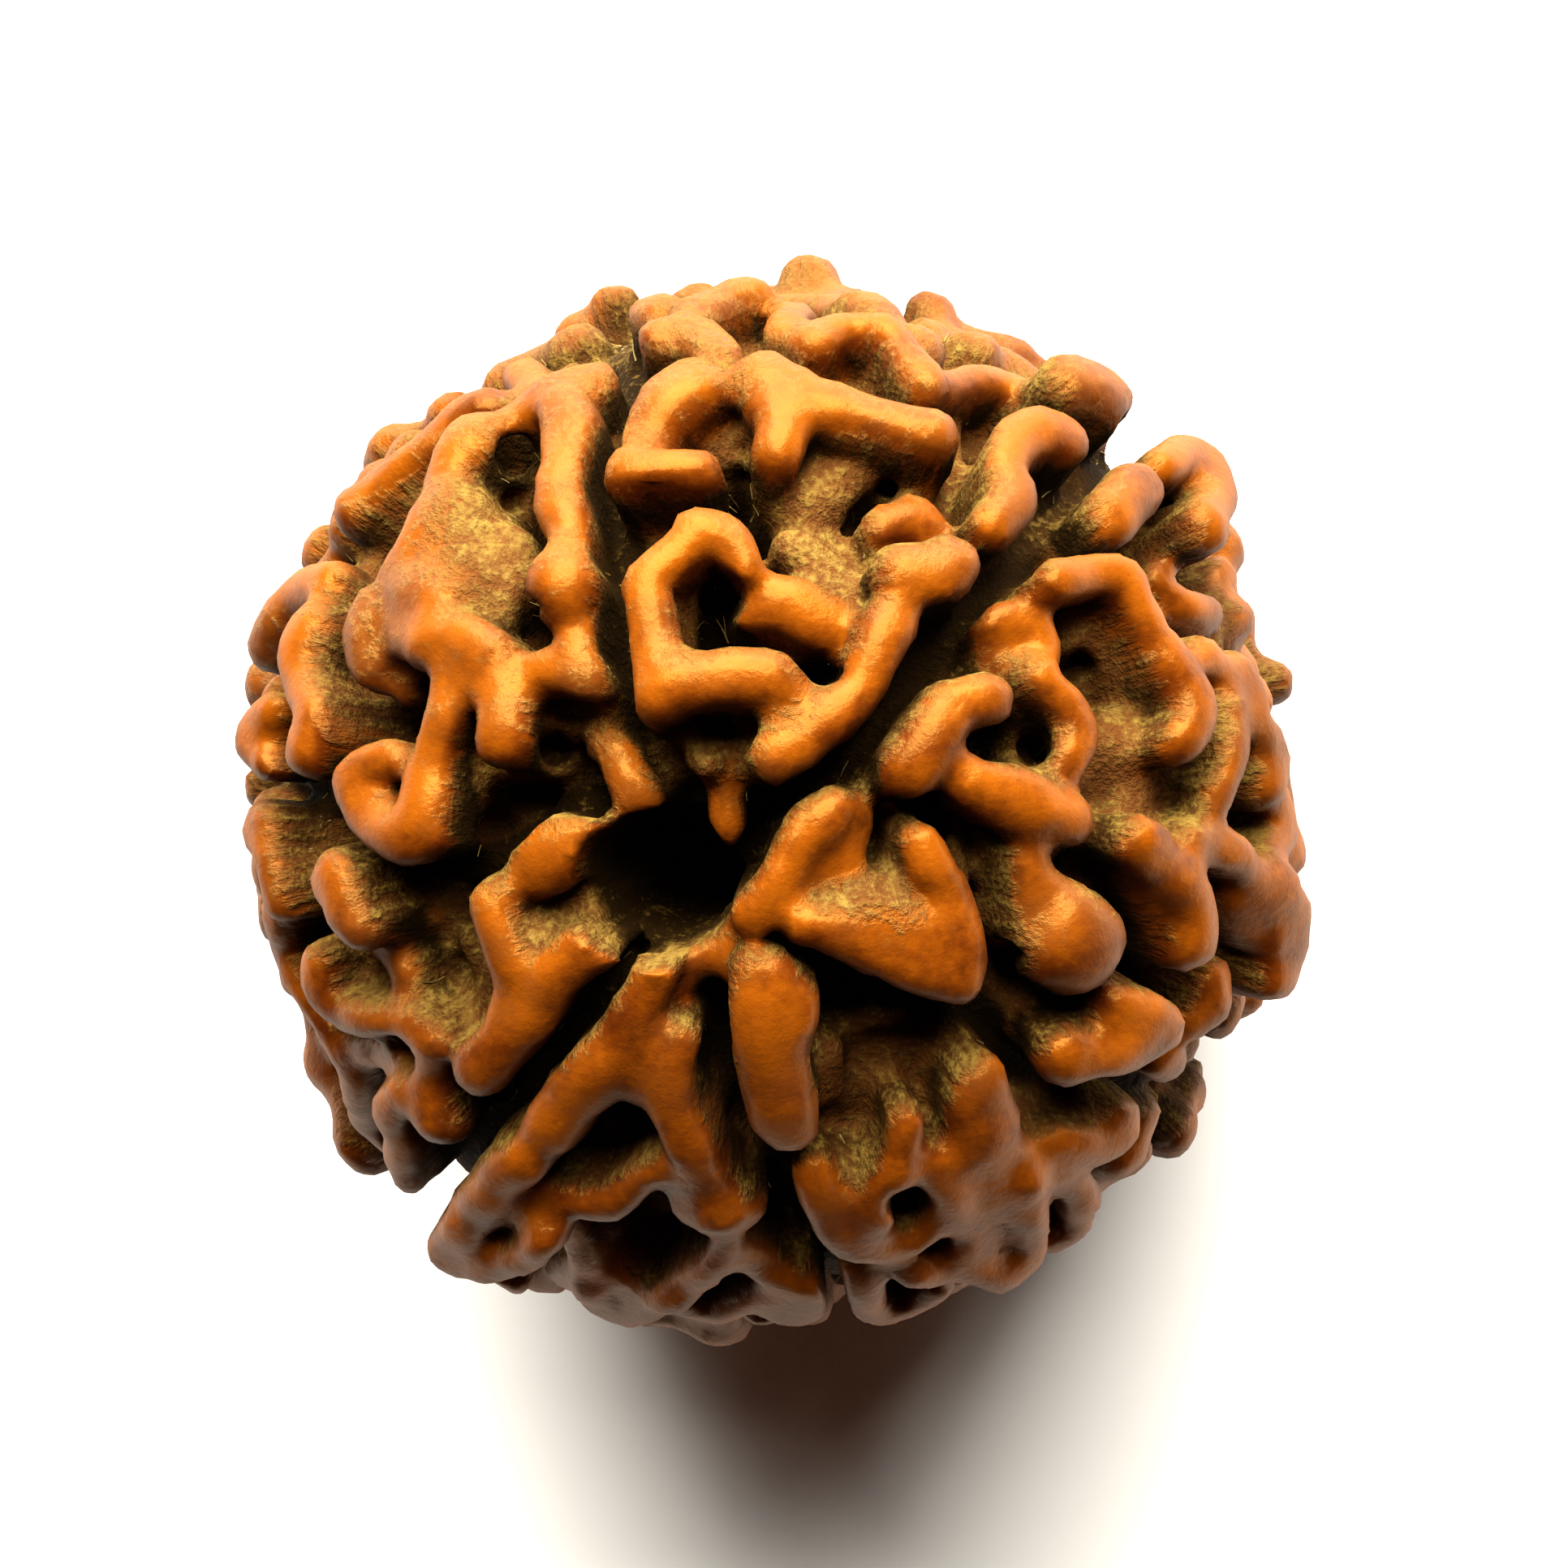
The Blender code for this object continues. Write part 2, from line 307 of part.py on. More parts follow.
def skin_rings(blank, rings):
    """Faces between following rings, and a cap on the first and the last."""
    for first, second in zip(rings, rings[1:]):
        for corner in range(len(first)):
            following = (corner + 1) % len(first)
            blank.faces.new((first[corner], second[corner], second[following], first[following]))
    blank.faces.new(rings[0])
    blank.faces.new(reversed(rings[-1]))


def polar(azimuth, angle):
    """Unit vector at this azimuth and this angle from the bored pole, in degrees."""
    turn, lean = math.radians(azimuth), math.radians(angle)
    return Vector((math.sin(lean) * math.cos(turn), math.sin(lean) * math.sin(turn), math.cos(lean)))


def azimuth_of(direction):
    """Azimuth round the bore, in degrees."""
    return math.degrees(math.atan2(direction.y, direction.x)) % 360.0


def furrow_azimuths():
    """Azimuth of each furrow where it leaves the front, in degrees and in order."""
    return sorted(azimuth_of(on_bead(*front[-1], REAR_TOP_RADIUS)) for front in FRONT_FURROWS)


def rear_lobe(direction, furrows):
    """Which lobe of the rear a direction is in, or None in a furrow or at the bore."""
    azimuth = azimuth_of(direction)
    reach = REAR_TOP_RADIUS * math.hypot(direction.x, direction.y)
    if reach < MOUTH_RADIUS + 0.8:
        return None
    for furrow in furrows:
        apart = abs((azimuth - furrow + 180.0) % 360.0 - 180.0)
        if math.radians(apart) * reach < min(FURROW_CLEARANCE, 0.16 * reach):
            return None
    return sum(azimuth > furrow for furrow in furrows) % len(furrows)


def rear_crest(direction, chance):
    """Crest radius of the rear: level, and lower towards the second mouth of the bore."""
    near_pole = max(0.0, 1.0 - math.degrees(math.acos(max(-1.0, min(1.0, -direction.z)))) / 38.0)
    return REAR_TOP_RADIUS - POLE_DIMPLE * near_pole ** 1.2 + chance.uniform(-0.25, 0.2)


def front_directions():
    """Unit vector to each point of the front ridges."""
    return [on_bead(across, up, crest).normalized() for crest, points in FRONT_RIDGES
            for across, up, _ in points]


def rear_knots(chance, furrows):
    """Knots of the rear, spread evenly and shaken: (direction, lobe, crest radius, half width)."""
    front = front_directions()
    count = round(4.0 * math.pi * REAR_TOP_RADIUS ** 2 / (0.87 * REAR_RIDGE_SPACING ** 2))
    view = TO_BEAD @ Vector((0.0, 0.0, 1.0))
    knots = []
    for index in range(count):
        height = 1.0 - (2.0 * index + 1.0) / count
        azimuth = index * 137.508
        direction = polar(azimuth, math.degrees(math.acos(height)))
        shake = Vector([chance.uniform(-0.055, 0.055) for _ in range(3)])
        direction = (direction + shake).normalized()
        lobe = rear_lobe(direction, furrows)
        crest = rear_crest(direction, chance)
        half_width = chance.uniform(0.34, 0.56)
        if direction.dot(view) > 0.42 or lobe is None:
            continue
        if min((direction - other).length for other in front) * REAR_TOP_RADIUS < RIM_CLEARANCE:
            continue
        if direction.dot(view) > -0.12:
            crest = RIM_TOP_RADIUS + chance.uniform(-0.15, 0.15)
        knots.append((direction, lobe, crest, half_width))
    return knots


def add_rear(blank, chance):
    """Branching ridges over the rear: each knot joined to near ones of its own lobe."""
    knots = rear_knots(chance, furrow_azimuths())
    joined = set()
    for index, (direction, lobe, crest, half_width) in enumerate(knots):
        near = sorted(
            (other for other in range(len(knots)) if other != index and knots[other][1] == lobe),
            key=lambda other: (knots[other][0] - direction).length,
        )[:3]
        for rank, other in enumerate(near):
            pair = (min(index, other), max(index, other))
            reach = (knots[other][0] - direction).length * REAR_TOP_RADIUS
            if pair in joined or reach > 3.1 or chance.random() > (0.78, 0.42, 0.16)[rank]:
                continue
            joined.add(pair)
            middle = (direction + knots[other][0]).normalized()
            bend = Vector([chance.uniform(-0.02, 0.02) for _ in range(3)])
            saddle = (crest + knots[other][2]) / 2.0 - chance.uniform(0.05, 0.3)
            add_ridge(blank, [
                (direction * crest, half_width),
                ((middle + bend).normalized() * saddle, min(half_width, knots[other][3]) * 0.85),
                (knots[other][0] * knots[other][2], knots[other][3]),
            ])
        add_ridge(blank, [(direction * crest, half_width)])


def add_feet(blank):
    """A knob in every second lobe, round the lower mouth, that stands proud of the rest there."""
    furrows = furrow_azimuths()
    for first, second in list(zip(furrows, furrows[1:]))[::2]:
        azimuth = (first + second) / 2.0
        foot = polar(azimuth, FOOT_POLAR_ANGLE) * FOOT_TOP_RADIUS
        inward = polar(azimuth + 6.0, FOOT_POLAR_ANGLE - 6.0) * (FOOT_TOP_RADIUS - 0.3)
        add_ridge(blank, [(foot, 0.62), (inward, 0.5)])


def furrow_path(front):
    """Directions along one furrow: over the front, then straight down to the lower pole."""
    path = [on_bead(across, up, REAR_TOP_RADIUS).normalized() for across, up in front]
    azimuth = azimuth_of(path[-1])
    lean = math.degrees(math.acos(path[-1].z)) + 8.0
    while lean < FURROW_END_ANGLE:
        path.append(polar(azimuth + 2.5 * math.sin(math.radians(lean * 5.0)), lean))
        lean += 8.0
    return path


def furrow_cutter(collection):
    """Cutter of the six furrows."""
    built = bmesh.new()
    for front in FRONT_FURROWS:
        path = [place.normalized() for place, _ in spaced([(place, 0.0) for place in furrow_path(front)], 0.05)]
        rings = []
        for index, out in enumerate(path):
            ahead = path[min(index + 1, len(path) - 1)] - path[max(index - 1, 0)]
            along = (ahead - out * ahead.dot(out)).normalized()
            rings.append(furrow_ring(built, out, out.cross(along), FURROW_OPEN_HALF_WIDTH))
        skin_rings(built, rings)
    return cutter_object("furrow_cutter", built, collection)


def in_collection(name, hidden=False):
    """A new collection under the scene's own."""
    found = bpy.data.collections.new(name)
    found.hide_render = hidden
    bpy.context.scene.collection.children.link(found)
    return found


def mesh_object(name, mesh_data, collection):
    """An object of this mesh in this collection."""
    found = bpy.data.objects.new(name, mesh_data)
    collection.objects.link(found)
    return found


def mesh_of(name, built):
    """A mesh in metres made from a bmesh in millimetres."""
    bmesh.ops.recalc_face_normals(built, faces=built.faces)
    bmesh.ops.scale(built, vec=(MILLIMETRE,) * 3, verts=built.verts)
    mesh_data = bpy.data.meshes.new(name)
    built.to_mesh(mesh_data)
    built.free()
    return mesh_data


def cutter_object(name, built, collection):
    """A helper that a Boolean cuts with."""
    cutter = mesh_object(name, mesh_of(name, built), collection)
    cutter.display_type = "WIRE"
    cutter.hide_render = True
    return cutter


def cut_with(target, name, cutter):
    """Takes the cutter's shape out of the target."""
    cut = target.modifiers.new(name, "BOOLEAN")
    cut.operation = "DIFFERENCE"
    cut.solver = "EXACT"
    cut.object = cutter


def ridged_blank(collection):
    """Core and every ridge, merged into one skin of about the wanted number of triangles."""
    blank = bmesh.new()
    bmesh.ops.create_icosphere(blank, subdivisions=5, radius=CORE_RADIUS)
    for crest, points in FRONT_RIDGES:
        add_ridge(blank, [(on_bead(across, up, crest), half_width) for across, up, half_width in points])
    chance = random.Random(SEED)
    add_rear(blank, chance)
    add_feet(blank)
    helper = mesh_object("bead_blank", mesh_of("bead_blank", blank), collection)
    merge = helper.modifiers.new("merge", "REMESH")
    merge.mode = "VOXEL"
    merge.voxel_size = GRAIN * MILLIMETRE
    cut_with(helper, "furrows", furrow_cutter(collection))
    heal = helper.modifiers.new("heal", "REMESH")
    heal.mode = "VOXEL"
    heal.voxel_size = GRAIN * MILLIMETRE
    soften = helper.modifiers.new("soften", "SMOOTH")
    soften.factor = 0.5
    soften.iterations = 2
    return helper


def evaluated_mesh(helper, name):
    """A copy of the mesh that the helper's modifiers make."""
    bpy.context.view_layer.update()
    graph = bpy.context.evaluated_depsgraph_get()
    mesh_data = bpy.data.meshes.new_from_object(helper.evaluated_get(graph))
    mesh_data.name = name
    return mesh_data


def bead_mesh(collection):
    """The ridged skin with few enough triangles, its ground level at zero and centred over the origin."""
    helper = ridged_blank(collection)
    fine = evaluated_mesh(helper, "bead_fine")
    triangles = sum(len(face.vertices) - 2 for face in fine.polygons)
    fewer = helper.modifiers.new("fewer", "DECIMATE")
    fewer.ratio = TRIANGLE_BUDGET / triangles
    mesh_data = evaluated_mesh(helper, "bead")
    for leftover in (helper.data, fine):
        bpy.data.meshes.remove(leftover)
    spans = [[vertex.co[axis] for vertex in mesh_data.vertices] for axis in (0, 1)]
    across, up = (-(min(span) + max(span)) / 2.0 for span in spans)
    mesh_data.transform(Matrix.Translation((across, up, GROUND_BELOW_CENTRE * MILLIMETRE)))
    return mesh_data, across, up


def bore_cutter(collection, across, up):
    """Cutter of the bore, wider at both mouths."""
    built = bmesh.new()
    profile = [
        (MOUTH_RADIUS, -CUT_REACH), (BORE_RADIUS, -MOUTH_STARTS),
        (BORE_RADIUS, MOUTH_STARTS), (MOUTH_RADIUS, CUT_REACH),
    ]
    rings = [
        [built.verts.new((radius * math.cos(turn), radius * math.sin(turn), height))
         for turn in (math.tau * step / 24 for step in range(24))]
        for radius, height in profile
    ]
    skin_rings(built, rings)
    cutter = cutter_object("bore_cutter", built, collection)
    cutter.location = (across, up, GROUND_BELOW_CENTRE * MILLIMETRE)
    return cutter


def ground_cutter(collection):
    """Cutter that leaves small flats where the three knobs meet the ground."""
    built = bmesh.new()
    bmesh.ops.create_cube(built, size=30.0)
    bmesh.ops.translate(built, vec=(0.0, 0.0, -15.0), verts=built.verts)
    return cutter_object("ground_cutter", built, collection)


def stone_material():
    """Waxed, orange-brown stone of the fruit."""
    material = bpy.data.materials.new("waxed_fruit_stone")
    material.use_nodes = True
    shader = material.node_tree.nodes["Principled BSDF"]
    shader.inputs["Base Color"].default_value = WALL_COLOUR
    shader.inputs["Roughness"].default_value = 0.38
    material.diffuse_color = WALL_COLOUR
    return material


def build():
    """The bead on the ground, its bore upright."""
    for existing in list(bpy.data.objects):
        bpy.data.objects.remove(existing)
    bead_parts = in_collection("rudraksha_bead")
    cutters = in_collection("cutters", hidden=True)
    mesh_data, across, up = bead_mesh(cutters)
    bead = mesh_object("bead", mesh_data, bead_parts)
    cut_with(bead, "bore", bore_cutter(cutters, across, up))
    cut_with(bead, "ground", ground_cutter(cutters))
    mesh_data.materials.append(stone_material())
    mesh_data.shade_smooth()


build()
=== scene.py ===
"""Dresses a rudraksha bead: the waxed, ridged stone of a fruit, furrowed in six and bored through."""

from __future__ import annotations

import logging
import math
import random
from dataclasses import dataclass, field
from enum import Enum

import bmesh
import bpy
import numpy as np
from mathutils import Matrix, Vector, kdtree, noise

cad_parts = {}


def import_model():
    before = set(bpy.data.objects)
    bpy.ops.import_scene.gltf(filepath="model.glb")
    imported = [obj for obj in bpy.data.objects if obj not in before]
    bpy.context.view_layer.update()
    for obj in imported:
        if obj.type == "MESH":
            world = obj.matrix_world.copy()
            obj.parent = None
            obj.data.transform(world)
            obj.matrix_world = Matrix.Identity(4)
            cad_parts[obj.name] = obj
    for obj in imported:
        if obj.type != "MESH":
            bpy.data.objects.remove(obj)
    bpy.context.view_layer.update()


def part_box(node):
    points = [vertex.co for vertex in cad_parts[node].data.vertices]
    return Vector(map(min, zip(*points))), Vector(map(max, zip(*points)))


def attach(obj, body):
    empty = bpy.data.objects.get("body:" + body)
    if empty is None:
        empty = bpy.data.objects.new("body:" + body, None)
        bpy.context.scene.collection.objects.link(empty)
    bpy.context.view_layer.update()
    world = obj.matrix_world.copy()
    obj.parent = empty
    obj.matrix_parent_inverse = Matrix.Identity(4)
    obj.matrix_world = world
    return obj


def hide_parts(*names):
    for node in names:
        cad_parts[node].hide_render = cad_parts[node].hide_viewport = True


MILLIMETRE = 0.001
NODE = "bead"

# Turn between neighbours of an even spread over a sphere, in degrees.
GOLDEN_ANGLE = 137.508
# Share of a square cell that each place of such a spread fills.
EVEN_SPREAD = 0.87

log = logging.getLogger("rudraksha_bead")


class Skin(Enum):
    """What the top of a ridge is like to touch."""

    WAXED = 1.0
    WORN = 0.55
    DUSTY = 0.0


class Lobe(Enum):
    """The six lobes between the furrows, as they lie in the view down on the bored pole."""

    UPPER_LEFT = "upper left"
    TOP = "top"
    RIGHT = "right"
    LOWER_RIGHT = "lower right"
    BOTTOM = "bottom"
    LOWER_LEFT = "lower left"


@dataclass(frozen=True)
class Ridge:
    """One ridge of the front: its skin, its crest's radius, and points of (across, up, half width), in mm."""

    skin: Skin
    crest: float
    points: tuple[tuple[float, float, float], ...]


WAXED = Skin.WAXED
WORN = Skin.WORN
DUSTY = Skin.DUSTY

FRONT_RIDGES: dict[Lobe, tuple[Ridge, ...]] = {
    Lobe.UPPER_LEFT: (
        Ridge(WAXED, 11.9, ((-5.6, 8.75, 0.45), (-4.9, 9.1, 0.5), (-4.0, 9.4, 0.45), (-3.6, 9.6, 0.35))),
        Ridge(WAXED, 12.1, ((-4.7, 8.9, 0.45), (-4.4, 8.2, 0.45), (-4.4, 7.5, 0.38), (-4.7, 6.9, 0.42),
              (-4.6, 6.2, 0.36))),
        Ridge(WAXED, 11.4, ((-5.6, 9.7, 0.3), (-5.3, 9.3, 0.3))),
        Ridge(WAXED, 11.6, ((-6.4, 8.9, 0.45), (-7.0, 8.6, 0.42), (-7.7, 8.0, 0.32), (-8.4, 7.4, 0.4),
              (-9.2, 6.6, 0.5))),
        Ridge(WAXED, 12.1, ((-6.6, 8.2, 0.55), (-7.2, 7.4, 0.5), (-7.5, 6.5, 0.5), (-8.0, 5.7, 0.45),
              (-8.5, 5.1, 0.3))),
        Ridge(WORN, 11.75, ((-7.0, 6.3, 0.62), (-7.2, 5.4, 0.7), (-6.8, 4.9, 0.5))),
        Ridge(WAXED, 11.9, ((-10.0, 4.95, 0.4), (-10.6, 4.7, 0.45), (-11.0, 4.1, 0.42),
              (-11.3, 3.5, 0.35))),
        Ridge(WAXED, 12.1, ((-10.4, 3.9, 0.45), (-10.6, 3.0, 0.42), (-10.3, 2.2, 0.4),
              (-10.2, 1.8, 0.4), (-10.4, 1.2, 0.45))),
        Ridge(WAXED, 12.0, ((-11.2, 2.1, 0.3), (-11.6, 1.6, 0.32), (-11.65, 0.9, 0.35),
              (-11.3, 0.5, 0.3))),
        Ridge(WAXED, 11.9, ((-8.9, 4.3, 0.42), (-9.1, 3.7, 0.46), (-9.0, 3.1, 0.35))),
        Ridge(WAXED, 12.2, ((-8.2, 4.8, 0.38), (-7.75, 4.75, 0.45), (-7.4, 4.5, 0.38))),
        Ridge(WAXED, 12.0, ((-8.2, 4.8, 0.36), (-8.2, 4.1, 0.33), (-8.2, 3.6, 0.3))),
        Ridge(WAXED, 12.2, ((-7.8, 3.6, 0.42), (-7.0, 3.7, 0.42), (-6.4, 3.3, 0.45))),
        Ridge(WAXED, 12.1, ((-7.2, 3.5, 0.4), (-7.25, 2.3, 0.28), (-7.45, 1.5, 0.3), (-7.7, 0.8, 0.36),
              (-7.7, 0.0, 0.45), (-7.7, -0.8, 0.55))),
        Ridge(WAXED, 12.1, ((-6.5, 3.1, 0.4), (-6.1, 2.4, 0.38), (-6.0, 1.9, 0.42), (-6.0, 1.4, 0.42))),
        Ridge(WAXED, 11.4, ((-8.5, 3.0, 0.3), (-8.4, 2.6, 0.33))),
        Ridge(WAXED, 12.1, ((-8.6, 0.95, 0.25), (-9.2, 0.8, 0.35), (-9.6, 0.2, 0.35),
              (-9.2, -0.5, 0.4), (-8.5, -1.0, 0.45), (-7.8, -1.0, 0.55))),
        Ridge(DUSTY, 11.6, ((-9.1, 0.3, 0.45), (-8.7, -0.1, 0.4))),
        Ridge(WAXED, 12.3, ((-4.6, 5.8, 0.3), (-4.7, 5.25, 0.55), (-4.7, 4.9, 0.6))),
        Ridge(WAXED, 12.0, ((-5.4, 2.95, 0.28), (-4.6, 3.0, 0.36), (-4.0, 2.8, 0.33))),
        Ridge(WAXED, 12.0, ((-4.35, 4.1, 0.28), (-4.4, 3.4, 0.36), (-4.2, 2.9, 0.33))),
        Ridge(DUSTY, 11.3, ((-6.1, 4.4, 0.4), (-5.8, 5.4, 0.45), (-6.3, 6.0, 0.4))),
        Ridge(WAXED, 10.8, ((-3.8, 1.4, 0.3), (-3.5, 1.2, 0.35), (-3.25, 0.6, 0.38), (-3.0, 0.0, 0.33))),
        Ridge(WAXED, 11.5, ((-5.6, -1.2, 0.5), (-5.0, -1.1, 0.62), (-4.4, -1.1, 0.58),
              (-4.0, -1.0, 0.38))),
    ),
    Lobe.TOP: (
        Ridge(WAXED, 11.7, ((-2.9, 10.9, 0.5), (-2.7, 11.1, 0.4))),
        Ridge(WAXED, 12.0, ((-1.7, 11.0, 0.45), (-1.0, 11.3, 0.4), (-0.4, 11.5, 0.42))),
        Ridge(WAXED, 12.0, ((-2.5, 10.4, 0.4), (-1.8, 10.6, 0.38), (-1.15, 10.1, 0.38))),
        Ridge(WAXED, 12.1, ((-1.75, 9.3, 0.62), (-2.4, 8.8, 0.66), (-2.8, 8.3, 0.45))),
        Ridge(WAXED, 12.3, ((-3.2, 7.5, 0.42), (-2.3, 7.55, 0.34), (-1.6, 7.55, 0.3))),
        Ridge(WAXED, 12.2, ((-1.6, 6.05, 0.42), (-1.9, 5.7, 0.4), (-2.5, 5.2, 0.38), (-3.0, 4.6, 0.34),
              (-3.0, 3.8, 0.34), (-2.8, 3.0, 0.42), (-2.7, 2.3, 0.46))),
        Ridge(WAXED, 12.1, ((-1.4, 6.05, 0.4), (-0.8, 5.8, 0.36), (-0.5, 5.3, 0.3))),
        Ridge(WAXED, 12.2, ((-2.6, 2.5, 0.52), (-1.7, 2.7, 0.52), (-0.8, 2.8, 0.5), (0.0, 2.8, 0.5))),
        Ridge(WAXED, 10.4, ((-1.2, 1.0, 0.28), (-1.05, 0.3, 0.28), (-1.0, -0.6, 0.28))),
        Ridge(WAXED, 11.6, ((-0.3, 4.5, 0.38), (0.4, 4.5, 0.45), (1.1, 4.1, 0.45), (1.7, 3.9, 0.33))),
        Ridge(DUSTY, 11.2, ((0.5, 5.8, 0.3), (1.1, 5.3, 0.34), (1.6, 4.7, 0.38))),
        Ridge(WAXED, 12.2, ((2.75, 4.0, 0.42), (2.4, 3.3, 0.38), (1.95, 2.5, 0.38), (1.4, 1.9, 0.44),
              (0.8, 1.4, 0.44), (0.2, 0.8, 0.4))),
        Ridge(WORN, 12.0, ((0.3, 2.4, 0.45), (0.8, 1.8, 0.45))),
        Ridge(WAXED, 12.4, ((3.1, 5.15, 0.52), (4.2, 5.15, 0.52))),
        Ridge(WAXED, 11.3, ((2.5, 6.2, 0.33), (3.1, 6.5, 0.38), (3.5, 6.2, 0.33))),
        Ridge(WAXED, 12.2, ((-0.1, 9.6, 0.5), (0.6, 9.1, 0.52), (1.4, 8.9, 0.46), (2.6, 8.6, 0.38),
              (3.7, 8.3, 0.5))),
        Ridge(WAXED, 12.2, ((-0.1, 9.6, 0.5), (0.3, 8.6, 0.46), (0.15, 8.0, 0.38))),
        Ridge(DUSTY, 10.9, ((0.2, 7.8, 0.5), (0.6, 6.9, 0.5), (1.7, 7.3, 0.4))),
        Ridge(WAXED, 11.8, ((0.6, 11.2, 0.32), (0.35, 10.6, 0.34))),
        Ridge(WAXED, 12.0, ((1.0, 10.4, 0.34), (1.8, 10.7, 0.34), (2.6, 10.4, 0.34), (3.2, 9.8, 0.34),
              (3.6, 9.3, 0.34))),
        Ridge(WAXED, 11.5, ((3.9, 9.2, 0.32), (4.6, 9.45, 0.34), (5.4, 9.4, 0.34), (5.8, 9.1, 0.28))),
        Ridge(WAXED, 12.2, ((6.7, 8.2, 0.44), (5.8, 8.3, 0.44), (5.3, 7.6, 0.4), (5.5, 6.8, 0.44),
              (5.0, 6.2, 0.38))),
        Ridge(WAXED, 12.4, ((6.7, 9.4, 0.6), (7.5, 9.2, 0.55), (7.9, 8.95, 0.4))),
    ),
    Lobe.RIGHT: (
        Ridge(WAXED, 12.2, ((7.7, 6.5, 0.48), (8.2, 7.2, 0.56))),
        Ridge(WAXED, 12.4, ((8.9, 7.6, 0.3), (9.5, 7.8, 0.36), (10.0, 7.1, 0.44), (9.9, 6.3, 0.4))),
        Ridge(WAXED, 12.4, ((4.9, 2.3, 0.44), (4.2, 2.2, 0.42), (3.5, 1.6, 0.5), (3.1, 0.9, 0.55))),
        Ridge(WAXED, 11.6, ((4.6, 4.1, 0.26), (5.3, 4.2, 0.26), (6.0, 3.9, 0.3), (6.3, 3.3, 0.3))),
        Ridge(WAXED, 11.2, ((5.2, 3.2, 0.4),)),
        Ridge(WAXED, 12.3, ((6.4, 5.0, 0.3), (7.3, 5.15, 0.3), (8.0, 5.1, 0.34), (8.4, 4.4, 0.34),
              (8.9, 3.6, 0.38), (9.3, 2.8, 0.42), (9.5, 2.0, 0.46), (9.2, 1.3, 0.38))),
        Ridge(WAXED, 12.2, ((9.8, 3.3, 0.3), (10.3, 2.9, 0.3), (10.4, 2.0, 0.3), (10.35, 1.0, 0.3),
              (10.1, 0.1, 0.3))),
        Ridge(WAXED, 12.2, ((10.6, 3.0, 0.34), (10.8, 2.4, 0.34), (10.9, 1.7, 0.34), (11.3, 0.9, 0.46),
              (11.2, 0.5, 0.42))),
        Ridge(WAXED, 11.2, ((8.8, 5.1, 0.26), (9.4, 4.4, 0.28), (9.9, 4.3, 0.26))),
        Ridge(WAXED, 12.1, ((6.2, 2.9, 0.3), (6.8, 2.2, 0.34), (7.05, 1.5, 0.34), (6.8, 0.9, 0.34))),
        Ridge(DUSTY, 10.9, ((7.7, 1.3, 0.5), (8.2, 0.6, 0.5), (8.0, -0.2, 0.45))),
        Ridge(WAXED, 12.3, ((4.5, 0.5, 0.38), (5.2, 0.15, 0.48), (6.0, -0.1, 0.52), (6.9, -0.4, 0.42))),
        Ridge(WAXED, 12.0, ((1.35, 0.0, 0.36), (1.25, -0.4, 0.42), (0.9, -0.6, 0.38), (0.6, -1.1, 0.32),
              (0.3, -1.7, 0.3), (0.0, -2.2, 0.33), (-0.4, -2.6, 0.3))),
        Ridge(WAXED, 11.3, ((1.6, -0.5, 0.5), (1.4, -1.3, 0.5), (0.9, -1.9, 0.4))),
        Ridge(WAXED, 12.2, ((0.8, -2.8, 0.28), (1.4, -2.9, 0.34), (2.0, -3.15, 0.4), (2.7, -3.5, 0.45),
              (3.5, -3.9, 0.45), (4.3, -4.0, 0.45))),
        Ridge(WORN, 12.0, ((2.2, -2.6, 0.45), (3.0, -2.9, 0.55), (3.8, -3.3, 0.6))),
        Ridge(WAXED, 12.1, ((4.3, -3.6, 0.45), (4.2, -2.7, 0.42), (4.0, -2.0, 0.4), (3.7, -1.5, 0.36),
              (3.4, -0.9, 0.32))),
        Ridge(DUSTY, 11.6, ((1.7, -2.2, 0.3), (2.4, -2.1, 0.3), (3.0, -2.4, 0.34))),
        Ridge(WAXED, 12.1, ((5.8, -1.3, 0.33), (6.0, -1.9, 0.4), (6.3, -2.6, 0.5))),
        Ridge(WAXED, 12.4, ((6.8, -3.1, 0.85), (7.1, -3.25, 0.85))),
        Ridge(WAXED, 12.3, ((8.3, -0.9, 0.38), (8.8, -1.3, 0.42), (9.3, -1.8, 0.45), (9.6, -2.5, 0.48),
              (9.6, -3.2, 0.45))),
        Ridge(WAXED, 11.6, ((8.3, -1.6, 0.45), (8.8, -2.3, 0.5), (9.0, -3.1, 0.45))),
        Ridge(WAXED, 12.3, ((9.6, -0.9, 0.3), (10.2, -1.0, 0.3), (10.8, -1.4, 0.3), (11.2, -2.0, 0.3),
              (11.4, -2.6, 0.3), (11.35, -3.1, 0.3))),
        Ridge(WAXED, 11.8, ((10.5, -2.0, 0.4), (10.8, -2.7, 0.45))),
        Ridge(WAXED, 12.0, ((11.4, 0.1, 0.4), (11.55, -0.6, 0.4), (11.2, -1.1, 0.34))),
        Ridge(WAXED, 12.4, ((11.4, -1.7, 0.3), (11.7, -2.4, 0.38), (11.7, -3.1, 0.42),
              (11.6, -3.7, 0.42), (11.3, -4.0, 0.35))),
        Ridge(WAXED, 11.6, ((10.9, -3.4, 0.26), (11.0, -3.8, 0.28), (10.6, -4.0, 0.3))),
        Ridge(WAXED, 11.8, ((10.0, -4.1, 0.38), (9.9, -4.55, 0.45), (9.6, -4.9, 0.33))),
        Ridge(WAXED, 12.3, ((7.8, -4.65, 0.33), (8.4, -4.75, 0.42), (8.8, -5.05, 0.45))),
        Ridge(WAXED, 12.3, ((8.9, -5.1, 0.42), (8.3, -5.4, 0.45), (7.6, -5.6, 0.42), (7.0, -5.7, 0.45),
              (6.5, -5.85, 0.5))),
